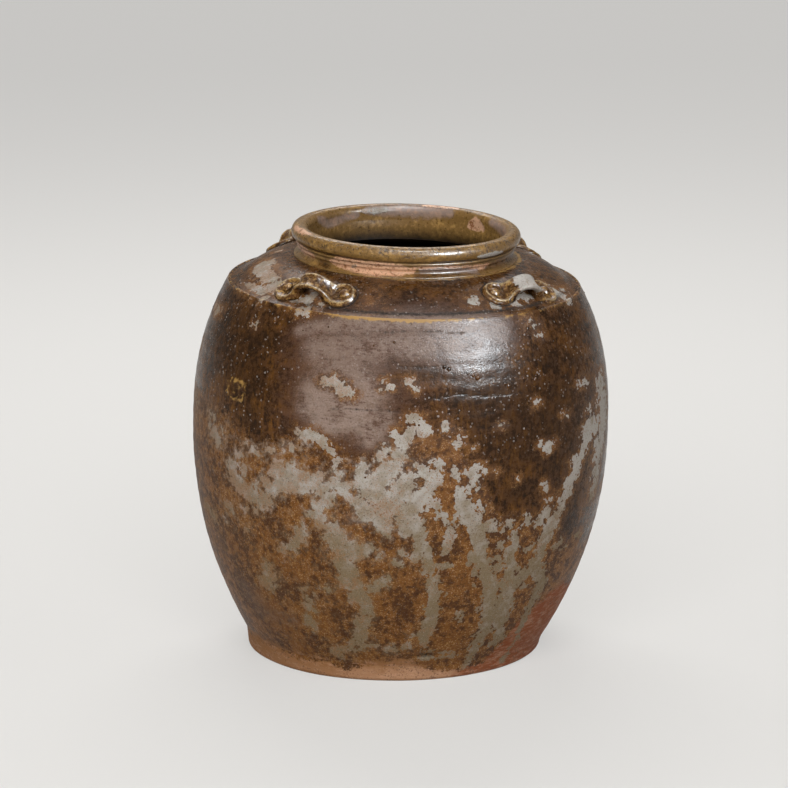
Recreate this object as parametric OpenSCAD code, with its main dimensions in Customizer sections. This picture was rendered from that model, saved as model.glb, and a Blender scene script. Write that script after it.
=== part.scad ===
// Stoneware storage jar of the martaban kind: a wide, leaning belly on a flat
// foot, a domed shoulder behind a raised ledge, a short collar with a rolled
// rim, and four thumbed strap lugs for the cords that once tied its cover down.
// Every piece is one piece of clay as the potter made it, luted to the next.

/* [Body] */
// Height of the jar, measured along its own axis
height = 340; // [330:1:360]
// Widest diameter of the belly
belly_d = 330; // [310:1:360]
// Drop from the ledge to the widest point
belly_drop = 110; // [95:1:125]
// Drop from the widest point to the luted seam of the lower and upper wall
seam_drop = 34; // [20:1:60]
// Diameter of the foot where it leaves the slab
foot_d = 237; // [220:1:256]
// How far the foot draws in towards the floor
foot_draw = 1.6; // [0:0.1:3]
// Rounding of the foot's lower edge
foot_round = 4; // [2:0.5:6]
// Fullness of the lower belly, where 2 is a parabola and more is fuller
lower_fullness = 2.2; // [1.9:0.05:2.6]
// Fullness of the upper belly
upper_fullness = 2.4; // [1.9:0.05:2.8]
// Thickness of the wall
wall = 8; // [6:0.5:10]
// Thickness of the base slab
base_t = 13; // [10:0.5:18]
// Radius of the cove between the base and the wall, inside
inner_cove = 7; // [4:0.5:10]
// Depth of the hollow under the base
base_hollow = 1.5; // [0.5:0.1:4]
// Width of the ring that the jar rests on
rest_w = 16; // [10:1:30]
// How far the jar leans over its foot, in degrees
lean = 1.6; // [0:0.1:2.5]

/* [Shoulder] */
// How far the ledge at the top of the belly stands in from the widest point
ledge_in = 25; // [18:0.5:32]
// Thickness of the ledge's rounded bead
ledge_bead = 3.2; // [2:0.1:4]
// Width of the step from the ledge in to the shoulder
ledge_step = 4.6; // [4:0.1:6]
// Depth of the groove between the bead and the shoulder
ledge_groove = 0.7; // [0:0.1:1.5]
// Height of the shoulder over the ledge
dome_h = 21.5; // [16:0.5:27]

/* [Mouth] */
// Height of the collar and the rim over the shoulder
neck_h = 24.5; // [21:0.5:30]
// Diameter of the collar's foot
collar_d = 177; // [160:1:190]
// Depth of the hollow round the outside of the collar
collar_hollow = 3.4; // [1:0.1:4.5]
// Thickness of the collar at its throat, which a stopper or a cover's plug fits
collar_t = 11.5; // [9:0.5:14]
// Height of the straight part of the throat
throat_h = 11; // [8:0.5:12]
// Height of the flare from the throat up to the rim
funnel_h = 4.5; // [3:0.5:7]
// How far the rolled rim stands out past the collar's foot
rim_over = 2.25; // [0.5:0.25:6]
// Thickness of the rolled rim
rim_roll = 12.6; // [11:0.2:14]
// Thickness of the thin cord line under the rim
cord_line = 3.2; // [2:0.1:4]

/* [Lugs] */
// How far the lugs stand in from the shoulder's edge
lug_in = 14.9; // [13:0.1:20]
// Length of a lug along the shoulder
lug_len = 72; // [66:1:80]
// Height of a lug over the shoulder
lug_rise = 15; // [12:0.5:18]
// Width of the opening under a lug
loop_w = 20; // [16:0.5:23]
// Height of the opening under a lug
loop_h = 10.6; // [8:0.1:11.5]
// Width of the strap at its crown
strap_w = 13; // [10:0.5:16]
// Height of the strap's raised edges over its groove
strap_edge = 1.3; // [0.4:0.1:2]
// Diameter of the round end that the thumb pressed flat
pad_d = 25; // [21:0.5:28]
// Height of the raised edge round a pressed end
pad_edge = 3.8; // [2.5:0.1:5]
// Thickness of clay left in the dish of a pressed end
pad_floor = 2; // [1.5:0.1:3]
// Depth of the thumb's pit in the dish, at the foot of the strap
thumb_pit = 1.2; // [0:0.1:1.4]
// How far the strap spreads at its feet
strap_flare = 3.5; // [1:0.1:5]
// Diameter of the clay pellet in a pressed end
pellet_d = 9; // [6:0.5:11]
// Height of the pellet
pellet_h = 2.4; // [1.5:0.1:4]
// Slip-filled gap under a lug and under its pellets
slip_gap = 0.15; // [0.1:0.05:0.3]

/* [Hidden] */
// Each lug: name, degrees round from the front towards the right, and its
// slant in degrees, which lowers its right end
LUGS = [
    ["lug_front_left", -35.5, -4],
    ["lug_front_right", 48, 10],
    ["lug_rear_right", 138, -6],
    ["lug_rear_left", -136, 3]];
LUG_PIECES = ["_strap", "_pellet_left", "_pellet_right"];

foot_r = foot_d / 2;
belly_r = belly_d / 2;
ledge_r = belly_r - ledge_in;
shoulder_r = ledge_r - ledge_step;
lug_r = shoulder_r - lug_in;
collar_r = collar_d / 2;
throat_r = collar_r - collar_t;
roll_r = rim_roll / 2;
roll_ring_r = collar_r + rim_over - roll_r;
roll_z = height - roll_r;
shoulder_z = height - neck_h;
ledge_z = shoulder_z - dome_h;
groove_z = ledge_z - ledge_groove;
belly_z = ledge_z - belly_drop;
belly_seam_z = belly_z - seam_drop;
// The rim's roll is luted on a little above its lowest point
rim_seam_z = roll_z - roll_r * 0.92;
throat_top_z = rim_seam_z - funnel_h;
throat_low_z = throat_top_z - throat_h;
axis_shift = belly_z * sin(lean);
steps = 14;
fine = 96;
spare = 1;

// Angles that the rounded parts of the profile turn through, from first to last
cove_turn = [-90, -30];
bead_turn = [0, 170];
collar_foot_turn = [0, 100];
cord_turn = [-80, 70];
roll_turn = [-60, 190];

glaze_brown = [0.30, 0.19, 0.11];
glaze_dark = [0.22, 0.14, 0.10];
glaze_olive = [0.45, 0.36, 0.17];
glaze_amber = [0.55, 0.36, 0.15];
bare_clay = [0.66, 0.42, 0.33];

// Profile formulas: [radius, height] of the outside at a share t from 0 to 1

function lower_pt(t) =
    [belly_r - (belly_r - foot_r) * pow(1 - t, lower_fullness),
     base_t + (belly_z - base_t) * t];
function upper_pt(t) =
    [belly_r - (belly_r - ledge_r) * pow(t, upper_fullness),
     belly_z + (ledge_z - belly_z) * t];
function dome_z(r) =
    shoulder_z - (shoulder_z - groove_z) * pow((r - collar_r) / (shoulder_r - collar_r), 2);
function dome_pt(t) =
    [shoulder_r - (shoulder_r - collar_r) * t,
     dome_z(shoulder_r - (shoulder_r - collar_r) * t)];

// Unit normal that points out of the wall, from a step along the profile
function out_of(step) = [step[1], -step[0]] / norm(step);
function arc(centre, r, turn, n) =
    [for (i = [0:n]) let (a = turn[0] + (turn[1] - turn[0]) * i / n)
        centre + r * [cos(a), sin(a)]];
function reverse(list) = [for (i = [len(list) - 1:-1:0]) list[i]];

share = [for (i = [0:steps]) i / steps];
nudge = 0.001;
lower_out = [for (t = share) lower_pt(t)];
lower_in = [for (t = share)
    lower_pt(t) - wall * out_of(lower_pt(min(1, t + nudge)) - lower_pt(max(0, t - nudge)))];
upper_out = [for (i = [1:steps]) upper_pt(i / steps)];
upper_in = [for (i = [1:steps]) let (t = i / steps)
    upper_pt(t) - wall * out_of(upper_pt(t) - upper_pt(t - nudge))];
dome_out = [for (t = share) dome_pt(t)];
// The first points inside the dome would lie in the wall below it
dome_skip = 3;
dome_in = [for (i = [dome_skip:steps]) let (t = i / steps)
    dome_pt(t) - wall * out_of(dome_pt(t) - dome_pt(t - nudge))];

bead_r = ledge_bead / 2;
ledge_out = concat(
    arc([ledge_r - bead_r, ledge_z], bead_r, bead_turn, 7),
    [[shoulder_r, groove_z]]);
collar_foot_r = cord_line * 0.3125;
collar_foot_z = shoulder_z + collar_foot_r * 0.4;
collar_wall_r = collar_r - collar_foot_r * 1.2;
hollow_z = (shoulder_z + rim_seam_z - cord_line) / 2;
hollow_half = hollow_z - collar_foot_z - collar_foot_r;
collar_out = concat(
    arc([collar_r - collar_foot_r, collar_foot_z], collar_foot_r, collar_foot_turn, 4),
    [for (i = [0:7]) let (s = i / 4 - 1)
        [collar_wall_r - collar_hollow * (1 - s * s), hollow_z + hollow_half * s]],
    arc([collar_wall_r - cord_line / 2, rim_seam_z - cord_line / 2],
        cord_line / 2, cord_turn, 6));
rim_out = arc([roll_ring_r, roll_z], roll_r, roll_turn, 20);
funnel_r = roll_ring_r - roll_r * 1.08;

outside = concat(lower_out, upper_out, ledge_out, dome_out, collar_out, rim_out);
cove_out = [lower_in[0][0] - inner_cove, base_t + inner_cove];
inside = concat(
    arc(cove_out, inner_cove, cove_turn, 4),
    lower_in,
    upper_in,
    dome_in,
    [[throat_r, throat_low_z], [throat_r, throat_top_z], [funnel_r, rim_seam_z]]);

// The jar stands straight while it is thrown and leans once it has been fired
module leaning() {
    translate([-axis_shift, 0, 0])
        rotate([0, lean, 0])
            children();
}

module wall_profile() {
    polygon(concat(outside, reverse(inside)));
}

// A ring of the wall between two heights and two radii
module wall_ring(z_low, z_high, r_low = 0, r_high = belly_d) {
    leaning()
        rotate_extrude($fn = fine)
            intersection() {
                wall_profile();
                translate([r_low, z_low])
                    square([r_high - r_low, z_high - z_low]);
            }
}

module base_slab() {
    hollow_r = foot_r - foot_draw - rest_w;
    slab_top = base_t + foot_r * sin(lean) + spare;
    color(bare_clay)
        difference() {
            translate([-axis_shift, 0, 0])
                rotate_extrude($fn = fine)
                    polygon(concat(
                        [[0, base_hollow], [hollow_r - base_hollow * 2, base_hollow],
                         [hollow_r, 0]],
                        arc([foot_r - foot_draw - foot_round, foot_round], foot_round,
                            [-90, 0], 6),
                        [[foot_r, slab_top], [0, slab_top]]));
            leaning()
                translate([0, 0, base_t])
                    cylinder(r = belly_r, h = slab_top, $fn = fine);
        }
}

module lower_wall() {
    color(glaze_brown)
        wall_ring(base_t, belly_seam_z);
}

module upper_wall() {
    color(glaze_dark)
        difference() {
            wall_ring(belly_seam_z, ledge_z + ledge_bead);
            leaning()
                translate([0, 0, groove_z])
                    cylinder(r = shoulder_r, h = ledge_bead * 2, $fn = fine);
        }
}

module shoulder() {
    color(glaze_brown)
        wall_ring(groove_z, shoulder_z + spare, collar_r, shoulder_r);
}

module collar() {
    color(glaze_amber)
        wall_ring(throat_low_z - wall, rim_seam_z, 0, collar_r);
}

module rim() {
    color(glaze_olive)
        wall_ring(rim_seam_z, height + spare);
}

// Lugs: u runs along the lug, v up the slope of the shoulder and n out of it.
// Each point is bent round the dome, so that a lug lies on it from end to end.

dome_slope = 2 * (shoulder_z - groove_z) * (lug_r - collar_r) / pow(shoulder_r - collar_r, 2);
v_reach = 1 / sqrt(1 + dome_slope * dome_slope);

function dome_normal(r) =
    let (slope = 2 * (shoulder_z - groove_z) * (r - collar_r) / pow(shoulder_r - collar_r, 2))
    [slope, 1] / sqrt(1 + slope * slope);
function on_dome(lug, u, v, n) =
    let (along = u * cos(lug[2]) + v * sin(lug[2]),
         up = v * cos(lug[2]) - u * sin(lug[2]),
         r = lug_r - up * v_reach,
         azimuth = lug[1] + along / lug_r * 180 / PI,
         side = [sin(azimuth), -cos(azimuth)],
         out = dome_normal(r))
    [(r + n * out[0]) * side[0], (r + n * out[0]) * side[1], dome_z(r) + n * out[1]];

pad_r = pad_d / 2;
pad_u = lug_len / 2 - pad_r;
pad_lip = slip_gap + pad_floor * 0.1;
pad_round = pad_r * 0.13;
ridge_in = pad_r * 0.192;
ridge_w = pad_r * 0.144;
pit_u = pad_u - pad_r * 0.5;
pit_r = pad_r * 0.45;
pellet_u = pad_u + pad_r * 0.22;
leg_u = loop_w / 2 + lug_rise - loop_h - strap_edge / 2;
foot_half = pad_r * 0.8;
flare_h = lug_rise * 0.147;

// Height of a pressed end: a raised edge round a dish, deeper where the thumb was
function pad_height(u, v) =
    let (d = pad_r - norm([u - pad_u, v]),
         edge = (pad_edge - pad_floor) * exp(-pow((d - ridge_in) / ridge_w, 2)),
         start = sqrt(min(1, max(0, d / pad_round))),
         pit = thumb_pit * exp(-pow(norm([u - pit_u, v]) / pit_r, 2)))
    pad_lip + (pad_floor + edge - pit - pad_lip) * start;

// Points across the strap, and how much of the raised edge stands at each
across = [-1, -0.92, -0.78, -0.6, -0.35, 0, 0.35, 0.6, 0.78, 0.92, 1];
edge_share = [0.35, 0.9, 1, 0.55, 0.1, 0, 0.1, 0.55, 1, 0.9, 0.35];
last = len(across) - 1;
end_turns = [for (i = [0:9]) 8 + i * 12.5];
arch_turns = [for (i = [0:9]) i * 10];

// The strap's upper path and its underside, by the angle round the loop
function strap_top(turn) =
    let (n = pad_floor + (lug_rise - strap_edge - pad_floor) * sin(turn))
    [leg_u * cos(turn) + strap_flare * exp((pad_floor - n) / flare_h), n];
function strap_low(turn) =
    [loop_w / 2 * cos(turn), slip_gap + (loop_h - slip_gap) * sin(turn)];
function underside(u, half, n) = [for (s = [1, 0.5, 0, -0.5, -1]) [u, s * half, n]];

// One cross-section: its top points, then its underside
function end_section(turn) =
    let (u = pad_u + pad_r * cos(turn), half = pad_r * sin(turn))
    concat(
        [for (s = across) [u, s * half, pad_height(u, s * half)]],
        underside(u, half, slip_gap));
function arch_section(turn) =
    let (foot = pow(1 - sin(turn), 3),
         half = strap_w / 2 + (foot_half - strap_w / 2) * foot,
         edge = strap_edge + (pad_edge - pad_floor - strap_edge) * foot,
         top = strap_top(turn),
         step = strap_top(min(90, turn + 1)) - strap_top(turn - 1),
         out = [step[1], -step[0]] / norm(step),
         low = strap_low(turn))
    concat(
        [for (j = [0:last])
            [top[0] + edge * edge_share[j] * out[0], across[j] * half,
             top[1] + edge * edge_share[j] * out[1]]],
        underside(low[0], half, low[1]));

half_lug = concat(
    [for (turn = end_turns) end_section(turn)],
    [for (turn = arch_turns) arch_section(turn)]);
function flipped(section) = [for (p = section) [-p[0], p[1], p[2]]];
lug_sections = concat(
    [for (section = half_lug) flipped(section)],
    [for (i = [len(half_lug) - 2:-1:0]) half_lug[i]]);

module lug_strap(lug) {
    m = last + 6;
    rows = len(lug_sections);
    points = [for (section = lug_sections) for (p = section) on_dome(lug, p[0], p[1], p[2])];
    sides = [for (i = [0:rows - 2]) for (j = [0:m - 1]) for (half = [0, 1])
        let (a = i * m + j, b = i * m + (j + 1) % m, c = a + m, d = b + m)
        half == 0 ? [a, c, b] : [b, c, d]];
    first_cap = [for (j = [0:m - 1]) j];
    last_cap = [for (j = [m - 1:-1:0]) (rows - 1) * m + j];
    color(glaze_olive)
        leaning()
            polyhedron(points = points, faces = concat(sides, [first_cap, last_cap]));
}

module lug_pellet(lug, side) {
    seat = on_dome(lug, side * pellet_u, 0, pad_floor + slip_gap);
    above = on_dome(lug, side * pellet_u, 0, pad_floor + slip_gap + 1) - seat;
    bulge = (pow(pellet_d / 2, 2) + pow(pellet_h, 2)) / (2 * pellet_h);
    azimuth = atan2(above[1], above[0]);
    color(glaze_amber)
        leaning()
            translate(seat)
                rotate([0, acos(above[2]), azimuth])
                    intersection() {
                        translate([0, 0, pellet_h - bulge])
                            sphere(r = bulge, $fn = 48);
                        cylinder(r = pellet_d, h = pellet_h * 2, $fn = 48);
                    }
}

base_slab();
lower_wall();
upper_wall();
shoulder();
collar();
rim();
for (lug = LUGS) {
    lug_strap(lug);
    lug_pellet(lug, -1);
    lug_pellet(lug, 1);
}
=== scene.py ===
"""The looks of a stoneware storage jar: its walls, neck, lugs and glazes, in Blender.

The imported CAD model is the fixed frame. Every wall is spun from the same profile
formulas as the CAD part, then given its unevenness, its glaze runs and its wear.
Lengths in the tables are millimetres in the jar's own frame, before it leans.
"""

import math
import random

import bpy
import numpy as np
from bpy.props import FloatProperty, FloatVectorProperty, IntProperty
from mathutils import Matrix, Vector


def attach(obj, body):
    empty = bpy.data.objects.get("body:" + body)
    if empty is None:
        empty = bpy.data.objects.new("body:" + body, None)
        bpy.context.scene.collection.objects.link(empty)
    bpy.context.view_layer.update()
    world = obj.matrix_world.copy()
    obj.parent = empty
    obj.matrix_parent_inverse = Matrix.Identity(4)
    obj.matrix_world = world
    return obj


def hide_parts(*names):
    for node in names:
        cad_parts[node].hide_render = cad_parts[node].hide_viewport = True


bl_info = {
    "name": "Stoneware Storage Jar",
    "version": (1, 0, 0),
    "blender": (4, 5, 0),
    "location": "View3D > Sidebar > Jar",
    "description": "Builds a glazed stoneware storage jar with strap lugs on its CAD frame",
    "category": "Object",
}

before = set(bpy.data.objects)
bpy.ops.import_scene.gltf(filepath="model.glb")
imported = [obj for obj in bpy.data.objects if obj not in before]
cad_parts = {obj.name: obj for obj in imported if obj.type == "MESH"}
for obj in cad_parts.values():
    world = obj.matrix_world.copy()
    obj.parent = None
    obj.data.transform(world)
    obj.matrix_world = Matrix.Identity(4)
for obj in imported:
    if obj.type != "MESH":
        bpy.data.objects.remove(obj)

MM = 0.001

# The sizes of the CAD part
HEIGHT = 340.0
BELLY_R, BELLY_Z = 165.0, 184.0
FOOT_R, FOOT_DRAW, FOOT_ROUND = 118.5, 1.6, 4.0
LOWER_FULLNESS, UPPER_FULLNESS = 2.2, 2.4
SEAM_Z = 150.0
WALL, BASE_T, INNER_COVE = 8.0, 13.0, 7.0
BASE_HOLLOW, REST_W = 1.5, 16.0
LEAN = math.radians(1.6)
LEDGE_R, LEDGE_Z, LEDGE_BEAD_R, LEDGE_STEP, LEDGE_GROOVE = 140.0, 294.0, 1.6, 4.6, 0.7
SHOULDER_R, SHOULDER_Z = LEDGE_R - LEDGE_STEP, 315.5
GROOVE_Z = LEDGE_Z - LEDGE_GROOVE
COLLAR_R, COLLAR_HOLLOW, CORD_LINE = 88.5, 3.4, 3.2
ROLL_R = 6.3
ROLL_RING_R, ROLL_Z = COLLAR_R + 2.25 - ROLL_R, HEIGHT - ROLL_R
RIM_SEAM_Z = ROLL_Z - 0.92 * ROLL_R
THROAT_R = 77.0
THROAT_TOP_Z = RIM_SEAM_Z - 4.5
THROAT_LOW_Z = THROAT_TOP_Z - 11.0
AXIS_SHIFT = BELLY_Z * math.sin(LEAN)

# The lugs: degrees round from the front towards the right, and slant in degrees
LUG_R = 120.5
LUGS = {
    "lug_front_left": (-35.5, -4.0),
    "lug_front_right": (48.0, 10.0),
    "lug_rear_right": (138.0, -6.0),
    "lug_rear_left": (-136.0, 3.0),
}
LUG_RISE, LOOP_W, LOOP_H = 15.0, 20.0, 10.6
STRAP_W, STRAP_EDGE, STRAP_FLARE = 13.0, 1.3, 3.5
PAD_R, PAD_EDGE, PAD_FLOOR, THUMB_PIT = 12.5, 3.8, 2.0, 1.2
PAD_U = 23.5
PIT_U, PIT_R = PAD_U - 0.5 * PAD_R, 0.45 * PAD_R
PELLET_U, PELLET_R, PELLET_H = PAD_U + 0.22 * PAD_R, 4.5, 2.4
SLIP_GAP = 0.15

# Marks on the glaze, each a row of (degrees round, way up the profile, half width).
# The way up is the height on the walls, and runs on over the shoulder and the rim.
ASH_SHOULDER_LEFT = [
    [(-78.4, 309.7, 4), (-70.9, 310, 4.7), (-62.7, 308.2, 4.7)],
    [(-58.1, 297.9, 3.2), (-57.1, 301.4, 4), (-54.8, 304.8, 4.7), (-49.4, 303, 4)],
    [(-68.5, 298.5, 2.4), (-62.1, 298.4, 2.4)], [(-53.3, 295, 2)],
    [(-41.2, 299.4, 3.3), (-40.6, 301, 2.8)],
    [(-38.1, 300.3, 3.2), (-36, 301.7, 4), (-35.1, 305.1, 2.4)], [(-35.8, 294, 2.1)],
    [(-33.3, 293.9, 2.4)], [(-29.9, 300, 2.4)], [(-78, 318.5, 2.4), (-79, 314.4, 3.2)],
    [(-46.8, 301.7, 2.4)],
]
ASH_UPPER = [

    [(-22.5, 246.4, 3.2), (-20.4, 247, 4), (-18.3, 245.3, 4.3), (-16.2, 242.1, 4.7), (-14.1, 239.7, 3.2)],
    [(-4.8, 248.7, 3.2), (-3.1, 247.5, 2)], [(1.5, 250.8, 3.2), (2.4, 247.9, 2.8), (3.2, 245.6, 1.2)],
    [(60.6, 234.9, 2.8), (62.2, 233.3, 2)], [(-64.5, 200.1, 2.5)],
    [(-62.1, 187.2, 4.7), (-60.4, 183.6, 4.3), (-59.1, 178.8, 3)], [(-65.5, 189, 2.4)],
    [(-57.7, 193.4, 2)], [(12.1, 216.2, 3.6), (12.9, 212.2, 2.8)], [(15.7, 208.8, 2.7)],
    [(14.6, 202, 2.5), (15.7, 204.1, 1.9)], [(19.4, 199, 1.4)],
    [(43.5, 193.1, 3.6), (44.6, 194.2, 2.4)], [(40.8, 195.9, 1.1)],
]
ASH_BAND_LEFT = [

    [(-28.6, 204.3, 2.8), (-27.1, 203.4, 3.6), (-25, 205.7, 4), (-23.2, 203.2, 4), (-21.8, 200.6, 4.3), (-20, 196.5, 3.2)],
    [(-20, 196.5, 3.2), (-18.5, 191.6, 2.7), (-17.3, 187.2, 3.2), (-17.8, 180.6, 2.2), (-16.9, 175.4, 2.4)],
    [(-49.1, 177.2, 2.7)], [(-47.4, 187, 2.1)], [(-44.3, 184, 2.8), (-42.8, 184, 2.4)],
    [(-37.4, 187.7, 2.8), (-37, 183.9, 1.6)], [(-32.9, 191.4, 2.5)], [(-30.9, 193.1, 3)],
]
ASH_BIG_LEFT = [

    [(-52.9, 169.2, 2.4), (-52.6, 162.9, 4), (-51.3, 156.5, 4.7), (-49.2, 152.2, 6.3), (-46.3, 149.1, 6.3), (-42.9, 147, 7.1), (-40, 146.2, 5.5)],
    [(-47.7, 170, 2.1), (-48.2, 162.5, 2.4)], [(-40.8, 140.9, 4), (-43.2, 135.4, 2.7)],
    [(-48.1, 134.1, 3.2)], [(-55.7, 131.6, 3.2), (-54, 126.9, 2.4)],
    [(-70.6, 121, 2.4), (-66.2, 117.6, 3.2)], [(-59.4, 120, 1.9)],
    [(-36.6, 169.8, 4), (-33.9, 175.1, 6.3), (-31, 171.7, 7.9), (-27.7, 168.3, 7.9), (-24.4, 169.6, 6.3), (-22, 173.8, 4.7)],
    [(-34.3, 161.3, 7.1), (-30.4, 159.9, 5.5), (-27.1, 163.8, 4.7), (-23.5, 164.4, 5.5), (-20.5, 163.1, 4)],
    [(-38.3, 160.1, 4), (-37, 155.9, 5.5)], [(-40.5, 162.1, 2.4)],
    [(-18.3, 169.4, 4), (-15.8, 167.8, 5.1), (-13, 168.5, 3.6)], [(-47.9, 116.9, 2.4)],
]
ASH_MIDDLE = [
    [(2.3, 223.1, 4.3), (4.2, 221.6, 4), (4.8, 215.5, 5.5), (6.7, 213.2, 4.3)],
    [(2.6, 214.7, 4.7), (1.4, 209.2, 5.1), (-0.5, 206, 4.7), (0.6, 201.4, 3.2)], [(-2.1, 211.3, 2.4)],
    [(-1.5, 205.2, 2.4)],
    [(-0.4, 195.9, 4), (-1.1, 189.5, 5.5), (-2.6, 183.1, 7.1), (-5, 176.4, 7.9), (-7.6, 171.2, 7.9)],
    [(-4.4, 197.8, 3.2), (-6.2, 192.8, 3.2)],
    [(-10.4, 183.4, 4), (-10.9, 176.2, 5.5), (-9.2, 166.9, 7.1), (-5.9, 161.1, 8.7)],
    [(8.2, 189.1, 2.7), (9.8, 187.5, 4)], [(11.2, 187.3, 2.4)],
    [(5, 185.1, 4), (7, 180.5, 5.5), (8.6, 175.6, 5.1), (10, 174.8, 4)],
    [(2.4, 178.7, 4.7), (1.2, 170.7, 8.7), (-0.6, 161.1, 9.5), (-3.2, 151.1, 9.5)],
    [(7.9, 168.4, 5.5), (5.8, 162.1, 7.1), (3.5, 154.8, 7.9), (1.2, 145, 7.9), (2.4, 135.2, 7.1)],
    [(-5.8, 142.6, 7.1), (-3.6, 135.4, 5.5)], [(-10.7, 153.8, 6.3), (-8.5, 146.2, 7.1)],
    [(-14.9, 161.7, 4), (-13, 157.2, 4.7)], [(14.8, 178.4, 3.6), (15.1, 183.1, 2.4)],
    [(16.3, 174.2, 2.1)],
    [(18.5, 178.7, 2.7), (19.9, 183.1, 2.8), (21.6, 184.4, 2.4), (22.8, 180.2, 2.1)],
    [(20.5, 175.9, 2.7), (19.7, 170.5, 4), (18.7, 165.8, 2.8)], [(9.1, 156.4, 3.2), (7.6, 153.2, 2.7)],
    [(10.1, 146.7, 2.4)],
    [(-19.1, 158.7, 4.7), (-21.4, 152.3, 5.5), (-23.8, 142.4, 4.7), (-22, 139.1, 6.3)],
    [(-19.1, 135.2, 6.3), (-17.2, 129.1, 5.5)],
    [(-19.3, 122.6, 4.7), (-15.8, 121.3, 7.1), (-13.6, 115.3, 8.7), (-10.7, 115.1, 6.3), (-8.8, 118.9, 4)],
    [(-15.4, 105.4, 8.7), (-14.1, 97.2, 7.1), (-13.9, 87.8, 7.1), (-11.7, 80.5, 6.3), (-10, 70.2, 6.3)],
]
ASH_OLIVE_LEFT = [
    [(-27.9, 129.3, 3.2), (-29.1, 119.6, 4.7), (-32, 111.6, 4.7), (-34.7, 105.1, 3.2)],
    [(-42.2, 89.2, 4), (-41.2, 82.9, 5.1), (-44.4, 73.2, 4.7)], [(-29.4, 47.5, 4), (-28.4, 42.4, 2.7)],
    [(-21.6, 80.9, 2.4)], [(-19, 124, 6), (-15, 107, 7), (-13.4, 90, 4.5), (-12.7, 73, 4.5)],
]
ASH_RUNS = [
    [(-10, 70.2, 6.3), (-10.2, 59.4, 5.5), (-10.8, 48.2, 5.5), (-12.2, 36.7, 4.7), (-15.3, 29.3, 4)],
    [(-8, 83.9, 4), (-5.4, 87.9, 4), (-3.1, 91.7, 3.5)],
    [(-15.3, 29.3, 4), (-20.2, 24, 4.3), (-22.5, 24.2, 3.5)], [(-10.6, 31.5, 2.4), (-6.7, 33.2, 2.4)],
    [(5, 141.8, 5.5), (5.7, 130.4, 6.3), (6.2, 120.3, 6.3), (5.2, 112.8, 5.5)],
    [(8, 113.6, 5.5), (9.1, 103.3, 4.7), (9.7, 93, 4.7), (10.6, 82.4, 4.7), (11.2, 73.5, 5.5), (11.1, 62.7, 6.3)],
    [(11.1, 62.7, 6.3), (10.6, 51.7, 6.7), (9.7, 42.5, 6.3), (9.7, 35.8, 4)],
    [(11.4, 104.9, 2.7), (13.7, 104.6, 2.8), (15.4, 104.5, 2.1)], [(12.7, 81.4, 3.2)],
    [(1.5, 116, 3.2), (2.4, 112.7, 1.9)], [(-0.9, 109.1, 2.8)], [(0.5, 105.8, 2.1)],
    [(13.6, 139, 3.2), (14.1, 129, 4.3), (13.5, 120, 3.5), (12.5, 115.1, 2.4)], [(12.6, 146.5, 2.4)],
    [(-5.7, 112.7, 2.4)], [(-1.2, 109, 1.9)],
    [(15.3, 167.2, 3.2), (16.3, 159, 5.1), (17.8, 150.6, 7.1), (20, 142.1, 7.1), (22.3, 133.4, 7.1), (23, 124.1, 6.3)],
    [(15.4, 147, 3.6)], [(21.5, 154.9, 2.7), (22.8, 150.5, 2.8)],
    [(23, 124.1, 6.3), (23.4, 114, 5.5), (24.2, 105.3, 6.3), (26.6, 96, 7.1), (28.6, 85.9, 6.3), (29.7, 74.1, 5.5)],
    [(20.5, 111.2, 2.7), (22.5, 108.2, 3.2)], [(22.8, 96.2, 2.4)],
    [(29.7, 74.1, 5.5), (30.3, 61.4, 5.9), (31.1, 48.4, 5.9), (30.2, 38.5, 5.1), (29.5, 27.4, 3.6)],
    [(29.5, 27.4, 3.6), (29, 18, 2.8), (28.2, 9.3, 2.7)],
    [(25.8, 137.6, 3.2), (27.7, 136.2, 3.5), (27.9, 132, 2.4)],
    [(32.1, 138.1, 2.8), (31, 133.5, 3.6), (30.1, 131.4, 2.4)], [(36.6, 141.4, 2.4), (37.7, 134.3, 3)],
    [(33.9, 127.5, 3.2), (34.7, 119.7, 4), (33.4, 113.5, 4.3), (32.9, 106.1, 4.7), (35.1, 96.6, 4.7)],
    [(30, 120.6, 2.4), (29.6, 114.8, 1.9)], [(29.5, 108, 3.2)], [(29.4, 98.7, 4.7)],
    [(35.1, 96.6, 4.7), (34.5, 86.5, 6.3), (35.2, 76.6, 7.1), (35.7, 66.6, 7.9), (35.2, 56, 7.1), (36.4, 45.5, 5.5), (39.6, 33.1, 4)],
    [(37.2, 29.4, 3.2)], [(41.9, 92.8, 4), (39.9, 88.6, 5.5), (37.7, 84.3, 5.5)], [(41.1, 79.3, 2.4)],
]
ASH_RIGHT_NET = [
    [(45.5, 142.3, 2.8), (43.7, 137.4, 4), (42.6, 133, 3.6)],
    [(51.2, 144.2, 2.5), (50.3, 138.2, 3.2), (48.6, 133.3, 4.3), (47.5, 125.5, 5.5), (46, 119.7, 5.1), (44.7, 111.9, 4.3)],
    [(44.7, 111.9, 4.3), (44.2, 103.7, 5.1), (44.3, 96, 5.1), (47.4, 85.8, 4.7), (49.6, 75.9, 4.3), (49.1, 68.3, 4)],
    [(48.5, 93.8, 2.7)], [(49.1, 68.3, 4), (48.5, 61.5, 3), (48.1, 54.6, 2.8), (47.7, 47.6, 2.7)],
    [(47.7, 47.6, 2.7), (47.6, 38.6, 2.1), (48.1, 27.3, 1.9), (47.8, 16.3, 2.2), (46.2, 6.7, 2.7)],
    [(52.8, 110.1, 2.8), (51.3, 106.7, 2.1)], [(55.6, 105.1, 2.1)], [(45, 149.9, 2.5)],
    [(43.4, 159.6, 2.4)], [(42.9, 164.7, 1.6)], [(40.2, 112.3, 2.4)],
]
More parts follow.
